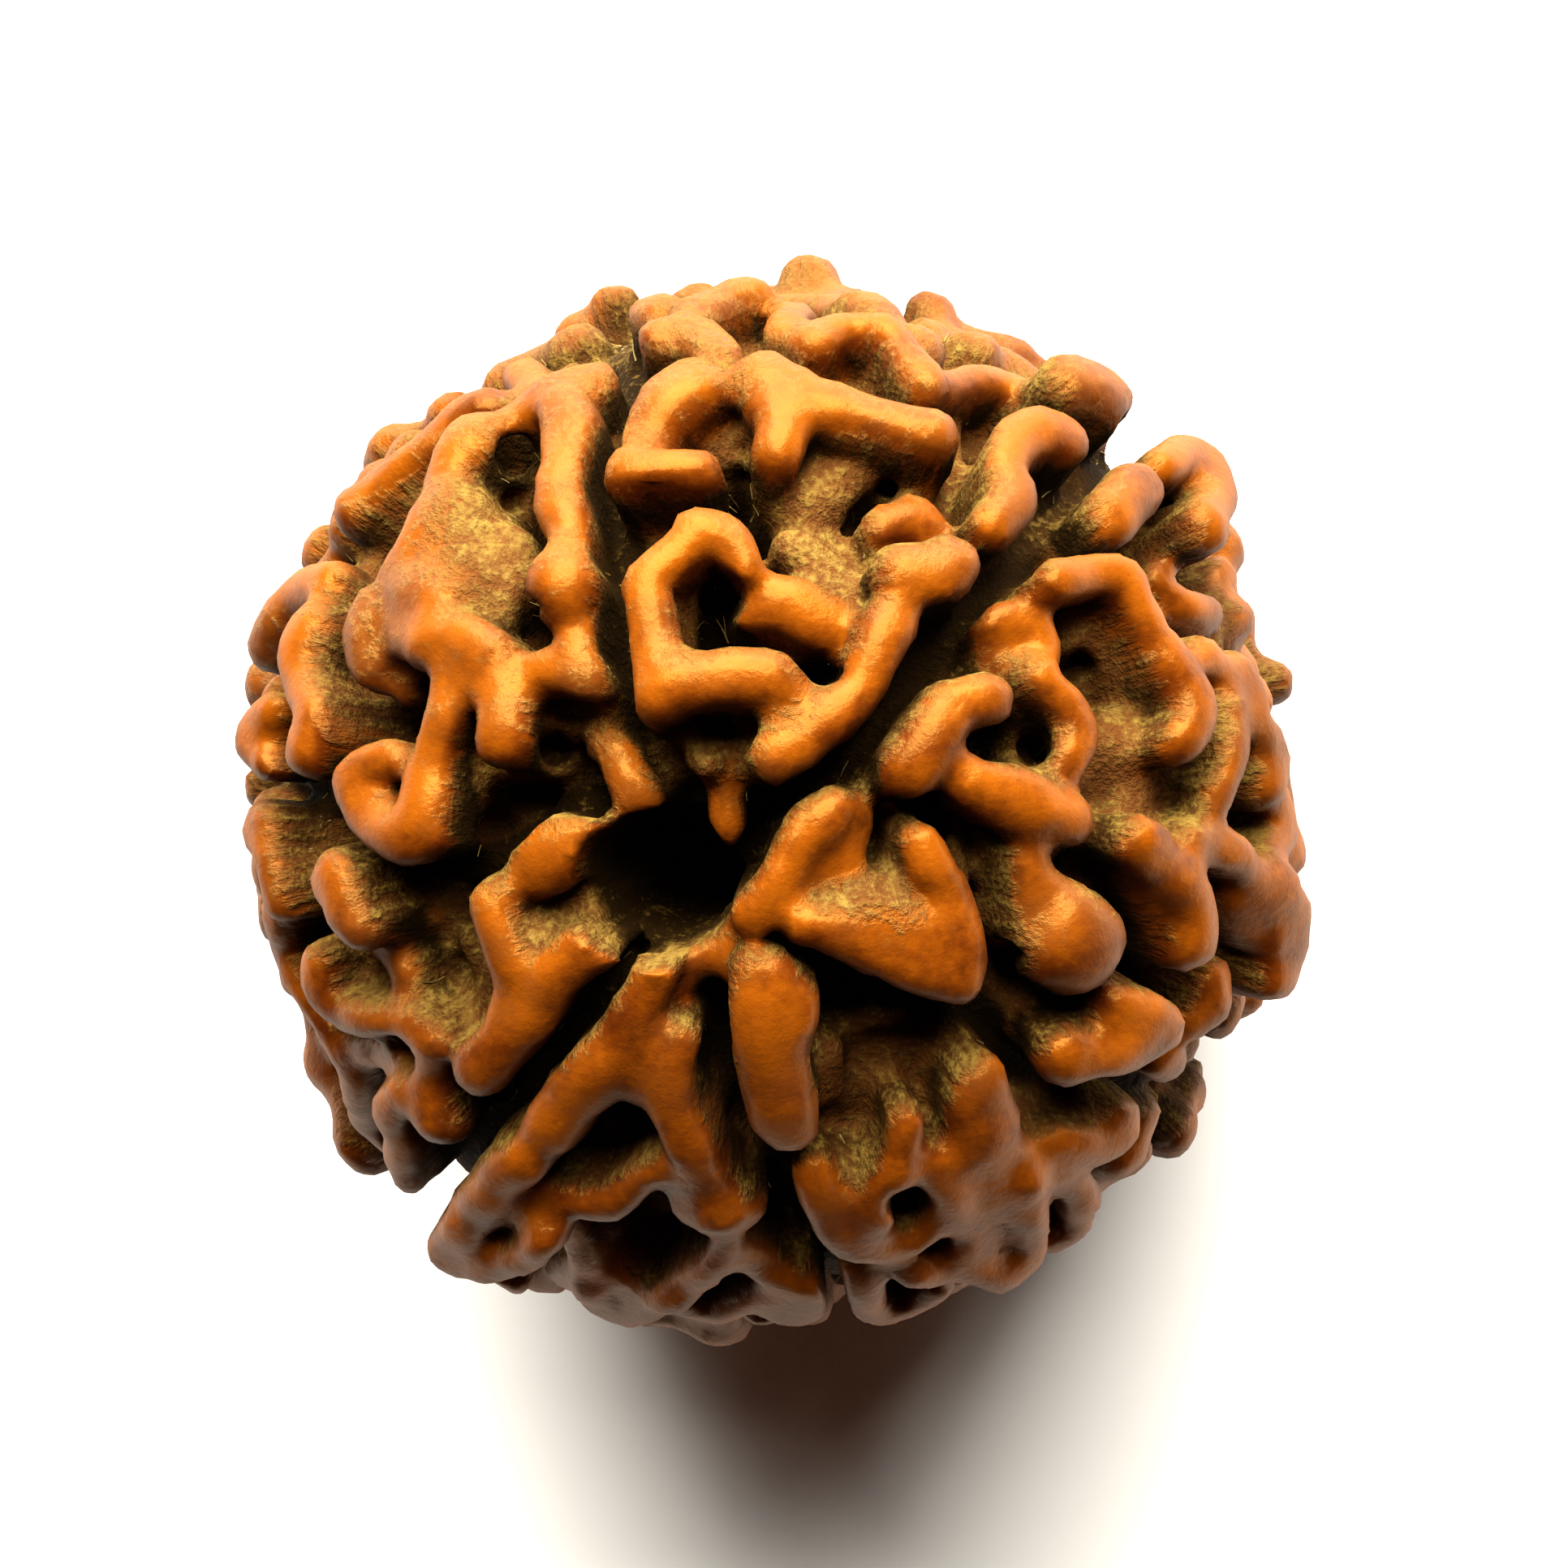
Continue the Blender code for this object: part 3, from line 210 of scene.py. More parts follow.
        Ridge(WAXED, 11.2, ((9.4, -5.5, 0.33),)),
        Ridge(WAXED, 11.4, ((8.8, -6.1, 0.36), (8.6, -5.9, 0.36))),
    ),
    Lobe.LOWER_RIGHT: (
        Ridge(WAXED, 11.0, ((-0.5, -2.7, 0.26), (-0.6, -3.2, 0.24))),
        Ridge(WAXED, 11.0, ((-1.6, -3.6, 0.3), (-1.1, -3.7, 0.33), (-0.6, -3.4, 0.28))),
        Ridge(WAXED, 12.1, ((-0.2, -4.0, 0.5), (0.4, -4.2, 0.5), (0.3, -4.9, 0.6))),
        Ridge(WAXED, 12.2, ((-0.2, -4.4, 0.5), (-0.05, -5.2, 0.6), (0.0, -6.0, 0.62),
              (0.2, -6.7, 0.62), (0.45, -7.3, 0.5))),
        Ridge(DUSTY, 10.9, ((1.2, -5.6, 0.35), (1.2, -6.5, 0.35))),
        Ridge(DUSTY, 10.3, ((1.9, -5.6, 0.24), (2.3, -5.75, 0.24), (2.8, -5.4, 0.24))),
        Ridge(WAXED, 12.2, ((1.0, -8.5, 0.3), (1.15, -9.1, 0.38), (1.5, -9.6, 0.44),
              (2.1, -9.95, 0.38), (2.6, -10.1, 0.3))),
        Ridge(WAXED, 12.2, ((3.1, -7.3, 0.24), (3.0, -7.9, 0.28), (2.75, -8.4, 0.34),
              (2.4, -8.9, 0.38), (2.2, -9.5, 0.42))),
        Ridge(DUSTY, 11.6, ((1.8, -8.5, 0.5), (1.7, -9.0, 0.5))),
        Ridge(WAXED, 12.1, ((3.5, -8.1, 0.24), (3.85, -8.6, 0.25), (3.9, -9.1, 0.25),
              (3.6, -9.6, 0.27), (3.2, -9.9, 0.3), (2.8, -10.2, 0.3))),
        Ridge(WAXED, 12.2, ((4.1, -8.8, 0.24), (4.25, -9.4, 0.25), (4.5, -9.9, 0.27),
              (4.35, -10.4, 0.28), (3.8, -10.7, 0.3), (3.3, -10.6, 0.3))),
        Ridge(WAXED, 12.1, ((4.0, -8.1, 0.24), (4.5, -8.2, 0.24), (4.95, -8.5, 0.25),
              (5.1, -9.1, 0.25), (5.1, -9.7, 0.27), (4.8, -10.0, 0.27))),
        Ridge(DUSTY, 11.4, ((3.3, -8.1, 0.27), (3.8, -7.8, 0.27), (4.3, -7.7, 0.27))),
        Ridge(WAXED, 12.0, ((4.6, -6.4, 0.34), (4.5, -7.1, 0.42), (4.8, -7.6, 0.45), (5.1, -7.9, 0.35))),
        Ridge(WAXED, 12.0, ((5.1, -6.0, 0.24), (5.1, -6.7, 0.25), (5.3, -7.5, 0.27), (5.6, -8.0, 0.27),
              (6.1, -8.0, 0.27), (6.4, -7.75, 0.3), (7.0, -7.7, 0.3), (7.6, -7.7, 0.34),
              (8.0, -7.4, 0.34), (8.0, -6.9, 0.3))),
        Ridge(DUSTY, 11.5, ((7.2, -6.9, 0.4), (7.4, -7.3, 0.4))),
        Ridge(WAXED, 12.4, ((5.9, -8.6, 0.27), (5.9, -9.3, 0.3), (6.0, -9.9, 0.3), (5.8, -10.5, 0.3),
              (5.3, -10.7, 0.38), (4.8, -10.6, 0.36))),
        Ridge(WAXED, 11.8, ((5.4, -9.4, 0.4), (5.3, -10.1, 0.45))),
        Ridge(WAXED, 12.0, ((6.5, -8.3, 0.3), (7.0, -8.8, 0.3), (6.9, -9.5, 0.34), (6.4, -9.9, 0.34))),
        Ridge(WAXED, 12.0, ((1.7, -10.6, 0.27), (1.9, -11.2, 0.3), (2.4, -11.5, 0.33),
              (2.9, -11.4, 0.3), (3.4, -11.2, 0.3), (3.8, -10.9, 0.3))),
    ),
    Lobe.BOTTOM: (
        Ridge(WAXED, 11.0, ((-2.8, -3.6, 0.3), (-2.4, -3.95, 0.3), (-2.0, -4.0, 0.26))),
        Ridge(WAXED, 12.0, ((-2.8, -3.8, 0.34), (-2.95, -4.3, 0.36), (-3.05, -4.9, 0.4),
              (-3.3, -5.4, 0.48), (-3.9, -6.0, 0.52), (-4.4, -6.6, 0.5), (-4.9, -7.3, 0.5),
              (-5.1, -7.55, 0.42))),
        Ridge(WAXED, 12.0, ((-2.1, -5.5, 0.34), (-2.3, -6.1, 0.44), (-2.2, -6.8, 0.44),
              (-1.85, -7.5, 0.44), (-1.55, -8.2, 0.4), (-1.4, -8.8, 0.48), (-1.1, -9.15, 0.58))),
        Ridge(WAXED, 11.7, ((-3.2, -5.9, 0.55), (-2.8, -6.3, 0.5))),
        Ridge(WAXED, 11.9, ((-1.8, -9.1, 0.35), (-1.1, -9.4, 0.4), (-0.5, -9.2, 0.3))),
        Ridge(WAXED, 12.4, ((-5.6, -8.15, 0.38), (-6.0, -8.4, 0.4), (-6.3, -8.8, 0.44),
              (-6.6, -9.2, 0.42))),
        Ridge(WAXED, 12.0, ((-6.3, -8.9, 0.45), (-5.7, -9.0, 0.4), (-5.0, -9.0, 0.3),
              (-4.5, -9.0, 0.28), (-3.8, -9.1, 0.28), (-3.3, -8.9, 0.27), (-2.8, -8.5, 0.27),
              (-2.3, -8.3, 0.24))),
        Ridge(WAXED, 11.4, ((-5.3, -8.5, 0.4), (-4.4, -8.75, 0.33))),
        Ridge(WAXED, 12.7, ((-7.2, -9.3, 0.38), (-7.4, -9.9, 0.42), (-6.9, -10.3, 0.38),
              (-6.2, -10.4, 0.36), (-5.5, -10.3, 0.33), (-5.1, -9.9, 0.3))),
        Ridge(WAXED, 12.3, ((-6.4, -10.6, 0.34), (-5.8, -10.9, 0.3))),
        Ridge(WAXED, 11.7, ((-4.7, -9.6, 0.25), (-4.4, -10.0, 0.27), (-4.2, -10.5, 0.3),
              (-4.7, -10.7, 0.33))),
        Ridge(WAXED, 12.0, ((-4.1, -11.0, 0.27), (-3.8, -11.35, 0.3), (-3.2, -11.5, 0.34),
              (-2.6, -11.3, 0.3), (-2.0, -11.1, 0.3), (-1.5, -10.7, 0.3), (-1.1, -10.3, 0.27),
              (-0.95, -9.9, 0.26))),
        Ridge(WAXED, 11.4, ((-3.3, -10.5, 0.5), (-2.7, -10.9, 0.4))),
        Ridge(WAXED, 11.8, ((-2.0, -11.3, 0.28), (-1.5, -11.5, 0.28), (-0.9, -11.4, 0.28),
              (-0.3, -11.2, 0.28))),
        Ridge(WAXED, 11.8, ((-0.8, -10.1, 0.26), (-0.4, -10.5, 0.28), (0.2, -10.8, 0.3),
              (0.8, -10.8, 0.3))),
        Ridge(WAXED, 11.9, ((0.0, -11.2, 0.3), (0.4, -11.5, 0.33), (0.9, -11.45, 0.34),
              (1.3, -11.1, 0.3), (1.4, -10.6, 0.27))),
    ),
    Lobe.LOWER_LEFT: (
        Ridge(WAXED, 12.0, ((-6.4, -2.3, 0.33), (-6.2, -2.9, 0.4), (-5.95, -3.6, 0.4),
              (-5.8, -4.3, 0.36), (-5.9, -4.9, 0.36))),
        Ridge(WAXED, 12.0, ((-3.75, -3.2, 0.33), (-4.3, -3.4, 0.42), (-4.8, -3.9, 0.44),
              (-5.2, -4.5, 0.42), (-5.6, -5.1, 0.45), (-6.1, -5.6, 0.5), (-6.5, -6.0, 0.5))),
        Ridge(DUSTY, 11.3, ((-5.2, -3.2, 0.45), (-5.5, -3.9, 0.36))),
        Ridge(DUSTY, 10.4, ((-4.4, -2.6, 0.4), (-3.8, -2.3, 0.33))),
        Ridge(WAXED, 12.1, ((-9.7, -1.65, 0.5), (-9.4, -2.3, 0.55), (-9.1, -2.8, 0.42))),
        Ridge(WAXED, 11.3, ((-8.8, -3.2, 0.28), (-8.2, -3.8, 0.27), (-8.15, -4.5, 0.27))),
        Ridge(DUSTY, 10.6, ((-7.8, -3.9, 0.4), (-7.7, -4.5, 0.35))),
        Ridge(WAXED, 11.9, ((-10.2, -3.7, 0.36), (-10.05, -4.3, 0.42), (-9.6, -4.8, 0.36),
              (-8.8, -4.95, 0.28), (-8.1, -5.1, 0.27), (-7.75, -5.5, 0.28))),
        Ridge(DUSTY, 11.2, ((-9.3, -4.2, 0.4),)),
        Ridge(WAXED, 11.4, ((-9.7, -5.6, 0.28), (-9.0, -5.7, 0.28), (-8.2, -5.7, 0.24))),
        Ridge(WAXED, 12.0, ((-7.7, -5.5, 0.28), (-7.8, -6.2, 0.3), (-7.7, -6.8, 0.38),
              (-7.5, -7.2, 0.45))),
        Ridge(WAXED, 12.0, ((-8.3, -6.6, 0.3), (-8.6, -7.1, 0.34), (-8.4, -7.6, 0.34),
              (-8.35, -8.1, 0.34), (-8.1, -8.5, 0.34))),
        Ridge(WAXED, 11.5, ((-7.9, -8.0, 0.4), (-7.6, -8.3, 0.33))),
        Ridge(WAXED, 11.9, ((-11.4, 0.0, 0.38), (-11.5, -0.5, 0.4), (-11.25, -1.1, 0.38),
              (-11.1, -1.7, 0.34), (-11.0, -2.3, 0.34))),
        Ridge(WAXED, 11.6, ((-11.0, -2.5, 0.36), (-11.0, -3.1, 0.38), (-10.85, -3.6, 0.34),
              (-10.55, -4.2, 0.3), (-10.2, -4.9, 0.3), (-9.85, -5.5, 0.3), (-9.5, -6.1, 0.33),
              (-9.35, -6.7, 0.33), (-9.1, -7.3, 0.33), (-8.7, -7.8, 0.3))),
    ),
}

# Each furrow of the front, from near the bore to the rim, in points of (across, up), mm.
FRONT_FURROWS: tuple[tuple[tuple[float, float], ...], ...] = (
    ((-3.4, 2.2), (-3.4, 3.6), (-3.6, 5.1), (-3.7, 6.2), (-3.95, 7.3), (-3.55, 8.6), (-3.2, 9.5),
     (-3.5, 11.3)),
    ((0.0, 0.0), (1.1, 0.55), (2.4, 1.6), (3.6, 3.1), (4.6, 4.4), (5.6, 5.4), (6.8, 6.9), (7.9, 8.2),
     (8.4, 8.5)),
    ((0.9, -3.6), (2.0, -4.2), (4.0, -4.9), (5.2, -5.4), (6.2, -6.6), (8.1, -6.5), (9.6, -7.0)),
    ((-1.4, -4.6), (-1.05, -5.6), (-0.85, -6.6), (-0.5, -7.6), (0.3, -8.8), (0.8, -10.0), (1.5, -11.1),
     (1.6, -11.9)),
    ((-3.4, -3.9), (-4.4, -5.0), (-5.5, -6.4), (-6.5, -7.5), (-7.3, -8.7), (-7.7, -9.1)),
    ((-4.1, -0.1), (-5.3, -0.1), (-6.6, -1.2), (-8.0, -1.8), (-9.3, -1.0), (-10.2, 0.2), (-11.5, 0.25)),
)

# Deep holes of the front between ridges: (across, up, radius), mm.
FRONT_PITS: tuple[tuple[float, float, float], ...] = (
    (-5.55, 7.6, 0.55), (-5.65, 6.6, 0.4), (-5.2, 4.3, 0.25), (-1.1, 4.5, 0.6), (1.35, 2.85, 0.3),
    (5.8, 1.15, 0.5), (-6.0, -0.6, 0.6), (-4.7, 1.1, 0.5), (2.6, 6.9, 0.35), (-0.8, 8.4, 0.27),
    (5.2, -3.4, 0.35), (-8.4, 2.1, 0.3), (6.8, 3.0, 0.45), (5.25, 3.4, 0.2), (2.9, -8.9, 0.3),
    (-0.65, 7.75, 0.27), (-0.55, 7.1, 0.27),
)


def linear(hex_colour: str) -> tuple[float, float, float, float]:
    """Turns an sRGB hex colour into linear values.

    Args:
        hex_colour: Six hex digits after a hash.

    Returns:
        Red, green, blue and an alpha of one.
    """
    channels = [int(hex_colour[start:start + 2], 16) / 255.0 for start in (1, 3, 5)]
    red, green, blue = (
        value / 12.92 if value <= 0.04045 else ((value + 0.055) / 1.055) ** 2.4 for value in channels
    )
    return red, green, blue, 1.0


def per_metre(size_mm: float) -> float:
    """Noise scale whose features are about this many millimetres across."""
    return 1.0 / (size_mm * MILLIMETRE)


def add_node(
    tree: bpy.types.NodeTree,
    kind: str,
    settings: dict[str, object] | None = None,
    inputs: dict[str | int, object] | None = None,
) -> bpy.types.Node:
    """Adds a node, sets it up and fills or links its inputs.

    Args:
        tree: Tree that the node joins.
        kind: Blender's name for the node type.
        settings: Attributes of the node itself.
        inputs: Values, or sockets to link, by the input's name or index.

    Returns:
        The new node.
    """
    node = tree.nodes.new(kind)
    for name, value in (settings or {}).items():
        setattr(node, name, value)
    for name, value in (inputs or {}).items():
        if isinstance(value, bpy.types.NodeSocket):
            tree.links.new(value, node.inputs[name])
        else:
            node.inputs[name].default_value = value
    return node


@dataclass(frozen=True)
class Layout:
    """The view down on the bored pole in which the front is laid out, and the bead's own axes."""

    eye: float = 160.0
    pole: tuple[float, float, float] = (-0.217, -0.155, 0.964)

    @property
    def to_bead(self) -> Matrix:
        """Rotation from the view's axes to the bead's, whose bore runs along Z."""
        return Vector(self.pole).normalized().rotation_difference(Vector((0.0, 0.0, 1.0))).to_matrix()

    def on_bead(self, across: float, up: float, radius: float) -> Vector:
        """Finds the point of the front that the view shows at a place.

        Args:
            across: Millimetres to the right of the middle.
            up: Millimetres above the middle.
            radius: Radius of the sphere that the point is on.

        Returns:
            The point in the bead's axes, or the nearest one on the rim.
        """
        eye = Vector((0.0, 0.0, self.eye))
        ray = (Vector((across, up, 0.0)) - eye).normalized()
        abreast = eye + ray * -eye.dot(ray)
        short = radius * radius - abreast.length_squared
        if short <= 0.0:
            return self.to_bead @ (abreast.normalized() * radius)
        return self.to_bead @ (abreast - ray * math.sqrt(short))


def polar(azimuth: float, angle: float) -> Vector:
    """Finds a direction from the middle of the bead.

    Args:
        azimuth: Degrees round the bore.
        angle: Degrees from the bored pole.

    Returns:
        The unit vector.
    """
    turn, lean = math.radians(azimuth), math.radians(angle)
    return Vector((math.sin(lean) * math.cos(turn), math.sin(lean) * math.sin(turn), math.cos(lean)))


def azimuth_of(direction: Vector) -> float:
    """Azimuth round the bore, in degrees."""
    return math.degrees(math.atan2(direction.y, direction.x)) % 360.0


def spaced(points: list[tuple[Vector, float]], step: float) -> list[tuple[Vector, float]]:
    """Rounds a polyline off and samples it.

    Args:
        points: Positions with a half width each.
        step: Longest distance between samples.

    Returns:
        The samples, each with its half width.
    """
    padded = [points[0], *points, points[-1]]
    found = []
    for before, start, end, after in zip(padded, padded[1:], padded[2:], padded[3:]):
        count = max(1, math.ceil((end[0] - start[0]).length / step))
        for index in range(count):
            t = index / count
            place = (start[0] * 2.0 + (end[0] - before[0]) * t
                     + (before[0] * 2.0 - start[0] * 5.0 + end[0] * 4.0 - after[0]) * t ** 2
                     + (start[0] * 3.0 - before[0] - end[0] * 3.0 + after[0]) * t ** 3) * 0.5
            found.append((place, start[1] + (end[1] - start[1]) * t))
    found.append(points[-1])
    return found


def skin_rings(built: bmesh.types.BMesh, rings: list[list[bmesh.types.BMVert]]) -> None:
    """Adds faces between following rings, and a cap on the first and the last.

    Args:
        built: Mesh that takes the faces.
        rings: Corners of each ring, as many in each.
    """
    for first, second in zip(rings, rings[1:]):
        for corner in range(len(first)):
            following = (corner + 1) % len(first)
            built.faces.new((first[corner], second[corner], second[following], first[following]))
    built.faces.new(rings[0])
    built.faces.new(reversed(rings[-1]))


def new_object(name: str, built: bmesh.types.BMesh) -> bpy.types.Object:
    """Makes an object in metres of a bmesh in millimetres.

    Args:
        name: Name of the object and its mesh.
        built: Closed shapes, freed here.

    Returns:
        The object, linked to the scene.
    """
    bmesh.ops.recalc_face_normals(built, faces=built.faces)
    bmesh.ops.scale(built, vec=(MILLIMETRE,) * 3, verts=built.verts)
    mesh = bpy.data.meshes.new(name)
    built.to_mesh(mesh)
    built.free()
    made = bpy.data.objects.new(name, mesh)
    bpy.context.scene.collection.objects.link(made)
    return made


def evaluated_mesh(helper: bpy.types.Object, name: str) -> bpy.types.Mesh:
    """Copies the mesh that an object's modifiers make.

    Args:
        helper: Object with the modifiers.
        name: Name of the copy.

    Returns:
        The copy.
    """
    bpy.context.view_layer.update()
    graph = bpy.context.evaluated_depsgraph_get()
    mesh = bpy.data.meshes.new_from_object(helper.evaluated_get(graph))
    mesh.name = name
    return mesh


def keep_largest_body(mesh: bpy.types.Mesh) -> None:
    """Removes the crumbs that the cuts leave loose from the stone.

    Args:
        mesh: Skin whose largest connected body is kept.
    """
    built = bmesh.new()
    built.from_mesh(mesh)
    seen: set[bmesh.types.BMVert] = set()
    bodies = []
    for start in built.verts:
        if start in seen:
            continue
        body, ahead = [], [start]
        seen.add(start)
        while ahead:
            corner = ahead.pop()
            body.append(corner)
            for edge in corner.link_edges:
                other = edge.other_vert(corner)
                if other not in seen:
                    seen.add(other)
                    ahead.append(other)
        bodies.append(body)
    bodies.sort(key=len)
    crumbs = [corner for body in bodies[:-1] for corner in body]
    log.info("crumbs removed: %d, with %d points", len(bodies) - 1, len(crumbs))
    bmesh.ops.delete(built, geom=crumbs, context="VERTS")
    built.to_mesh(mesh)
    built.free()
    mesh.validate()


@dataclass
class Crests:
    """Every crest line of the bead as close samples, to tell how far a point is below its ridge."""

    places: list[Vector] = field(default_factory=list)
    half_widths: list[float] = field(default_factory=list)
    tops: list[float] = field(default_factory=list)
    waxed: list[float] = field(default_factory=list)

    def add(self, samples: list[tuple[Vector, float]], skin: Skin) -> None:
        """Takes in the samples of one ridge.

        Args:
            samples: Crest positions with a half width each.
            skin: What the ridge's top is like.
        """
        for position, half_width in samples:
            self.places.append(position - position.normalized() * half_width)
            self.half_widths.append(half_width)
            self.tops.append(position.length)
            self.waxed.append(skin.value)

    def measure(self, points: np.ndarray) -> tuple[np.ndarray, np.ndarray]:
        """Measures each point against the ridge it belongs to.

        Args:
            points: Places in the bead's axes, mm.

        Returns:
            How far each lies below the top of its ridge, mm, and how waxed that ridge is.
        """
        tree = kdtree.KDTree(len(self.places))
        for index, place in enumerate(self.places):
            tree.insert(place, index)
        tree.balance()
        drops = np.zeros(len(points))
        waxed = np.zeros(len(points))
        for row, point in enumerate(points):
            _, nearest = min(
                (distance - self.half_widths[index], index) for _, index, distance in tree.find_n(point, 5)
            )
            drops[row] = self.tops[nearest] - np.linalg.norm(point)
            waxed[row] = self.waxed[nearest]
        return drops, waxed


@dataclass
class FruitStone:
    """The stone: a round core, branching ridges on six lobes, furrows between them and the bore.

    Sizes are in millimetres. The pits, scores and lumps are, by estimate, a little coarser than real ones.
    """

    layout: Layout
    core_radius: float = 8.7
    wall_root_radius: float = 8.4
    wall_flare: float = 0.1
    wall_waist: float = 0.75
    crest_roundness: float = 0.85
    crest_allowance: float = 0.14
    width_allowance: float = 0.11
    width_gain: float = 1.1
    knot_unevenness: float = 0.2
    knob_rise: float = 1.1
    knob_swell: float = 1.06
    knobs: float = 0.15
    knob_length: float = 1.0
    knob_width_gain: float = 1.6
    knob_shift: tuple[float, float, float] = (9.1, 3.7, 5.3)
    sample_step: float = 0.25
    undergrowth_top: float = 10.6
    undergrowth_spacing: float = 1.0
    rear_top_radius: float = 12.05
    rear_ridge_spacing: float = 2.2
    rim_top_radius: float = 11.3
    rim_clearance: float = 1.75
    pole_dimple: float = 2.6
    pole_dimple_angle: float = 38.0
    furrow_clearance: float = 0.85
    furrow_floor_radius: float = 9.2
    furrow_floor_rise: float = 1.3
    furrow_rise_angle: float = 65.0
    furrow_floor_half_width: float = 0.22
    furrow_open_half_width: float = 0.3
    furrow_keep_half_width: float = 0.25
    furrow_end_angle: float = 162.0
    pit_depth: float = 3.0
    bore_radius: float = 1.35
    mouth_radius: float = 1.9
    mouth_starts: float = 9.0
    cut_reach: float = 14.0
    foot_top_radius: float = 12.3
    foot_polar_angle: float = 155.0
    ground_below_centre: float = 11.0
    grain: float = 0.17
    ripple: float = 0.075
    ripple_length: float = 1.3
    score: float = 0.16
    score_width: float = 0.75
    most_triangles: int = 196000
    seed: int = 6
    crests: Crests = field(default_factory=Crests)
    centre: Vector = field(default_factory=Vector)
    furrow_tree: kdtree.KDTree = field(init=False)
    pits: list[tuple[Vector, float]] = field(init=False)

    def __post_init__(self) -> None:
        """Samples the furrows' lines, which the ridges keep clear of."""
        lines = [
            place.normalized()
            for front in FRONT_FURROWS
            for place, _ in spaced([(place, 0.0) for place in self.furrow_path(front)], 0.02)
        ]
        self.furrow_tree = kdtree.KDTree(len(lines))
        for index, place in enumerate(lines):
            self.furrow_tree.insert(place * self.rear_top_radius, index)
        self.furrow_tree.balance()
        self.pits = [
            (self.layout.on_bead(across, up, self.rear_top_radius), radius)
            for across, up, radius in FRONT_PITS
        ]

    def from_pits(self, place: Vector) -> float:
        """How far a place on the shell of the crests is outside the nearest pit's edge."""
        return min((place - pit).length - radius for pit, radius in self.pits)

    def clear_of_furrows(self, samples: list[tuple[Vector, float]]) -> list[tuple[Vector, float]]:
        """Moves the parts of a ridge that would reach into a furrow to its edge.

        Args:
            samples: Crest positions with a half width each.

        Returns:
            The same samples, clear of the furrows.
        """
        middle = sum((position for position, _ in samples), Vector()).normalized() * self.rear_top_radius
        moved = []
        for position, half_width in samples:
            place = position.normalized() * self.rear_top_radius
            line, _, distance = self.furrow_tree.find(place)
            need = half_width + self.furrow_keep_half_width
            if distance < need:
                away = (place - line) if distance > 0.3 else (middle - line)
                away -= line.normalized() * away.dot(line.normalized())
                place = line + away.normalized() * need
            moved.append((place.normalized() * position.length, half_width))
        return moved

    def wall_ring(
        self,
        built: bmesh.types.BMesh,
        foot: Vector,
        out: Vector,
        side: Vector,
        half_width: float,
        crest: float,
    ) -> list[bmesh.types.BMVert]:
        """Draws one cross section of a ridge, from its root over the round crest and back.

        Args:
            built: Mesh that takes the corners.
            foot: Shift along the ridge.
            out: Direction away from the middle of the bead.
            side: Direction across the ridge.
            half_width: Half width at the shoulder.
            crest: Radius of the crest.

        Returns:
            The corners in order.
        """
        shoulder = crest - half_width * self.crest_roundness
        profile = [
            (-(half_width * self.wall_waist + self.wall_flare), self.wall_root_radius),
            (-half_width * self.wall_waist, (self.wall_root_radius + shoulder) / 2.0),
            (-half_width * 0.97, shoulder - half_width * 0.25),
        ]
        for degrees in (-90.0, -65.0, -45.0, -27.0, -12.0, 0.0):
            turn = math.radians(degrees)
            rise = math.cos(turn) ** 0.8 * half_width * self.crest_roundness
            profile.append((-half_width * abs(math.sin(turn)) ** 0.9, shoulder + rise))
        profile += [(-across, height) for across, height in reversed(profile[:-1])]
        return [built.verts.new(foot + side * across + out * height) for across, height in profile]

    def rise_at(self, position: Vector, half_width: float) -> float:
        """Finds how far a knot of a ridge stands above the height it is laid out at: wide ones higher.

        Args:
            position: Crest position as laid out.
            half_width: Half width there.

        Returns:
            The rise.
        """
        swelling = self.knob_rise * (min(half_width, 0.65) - 0.42)
        return self.crest_allowance + swelling + self.knot_unevenness * noise.noise(position / 2.6)

    def knobbly(self, position: Vector, half_width: float) -> tuple[Vector, float]:
        """Raises and swells a ridge a little at one place, or lowers and pinches it.

        Args:
            position: Crest position.
            half_width: Half width there.

        Returns:
            The position and the half width after it.
        """
        place = position / self.knob_length
        raised = position + position.normalized() * self.knobs * noise.noise(place)
        swelling = self.knob_width_gain * self.knobs * noise.noise(place + Vector(self.knob_shift))
        return raised, half_width * (1.0 + swelling)

    def add_ridge(self, built: bmesh.types.BMesh, points: list[tuple[Vector, float]], skin: Skin) -> None:
        """Adds a ridge, clear of the furrows.

        Args:
            built: Mesh that takes the ridge.
            points: Crest positions with a half width each.
            skin: What its top is like.
        """
        points = [
            (
                position + position.normalized() * self.rise_at(position, half_width),
                half_width * self.width_gain + self.width_allowance,
            )
            for position, half_width in points
        ]
        if len(points) == 1:
            position, half_width = points[0]
            points = [points[0], (position + position.orthogonal().normalized() * 0.12, half_width)]
        for end in (0, -1):
            position, half_width = points[end]
            points[end] = (position, half_width * self.knob_swell)
        samples = [
            self.knobbly(position, half_width)
            for position, half_width in self.clear_of_furrows(spaced(points, self.sample_step))
        ]
        self.crests.add(samples, skin)
        self.add_wall(built, samples)

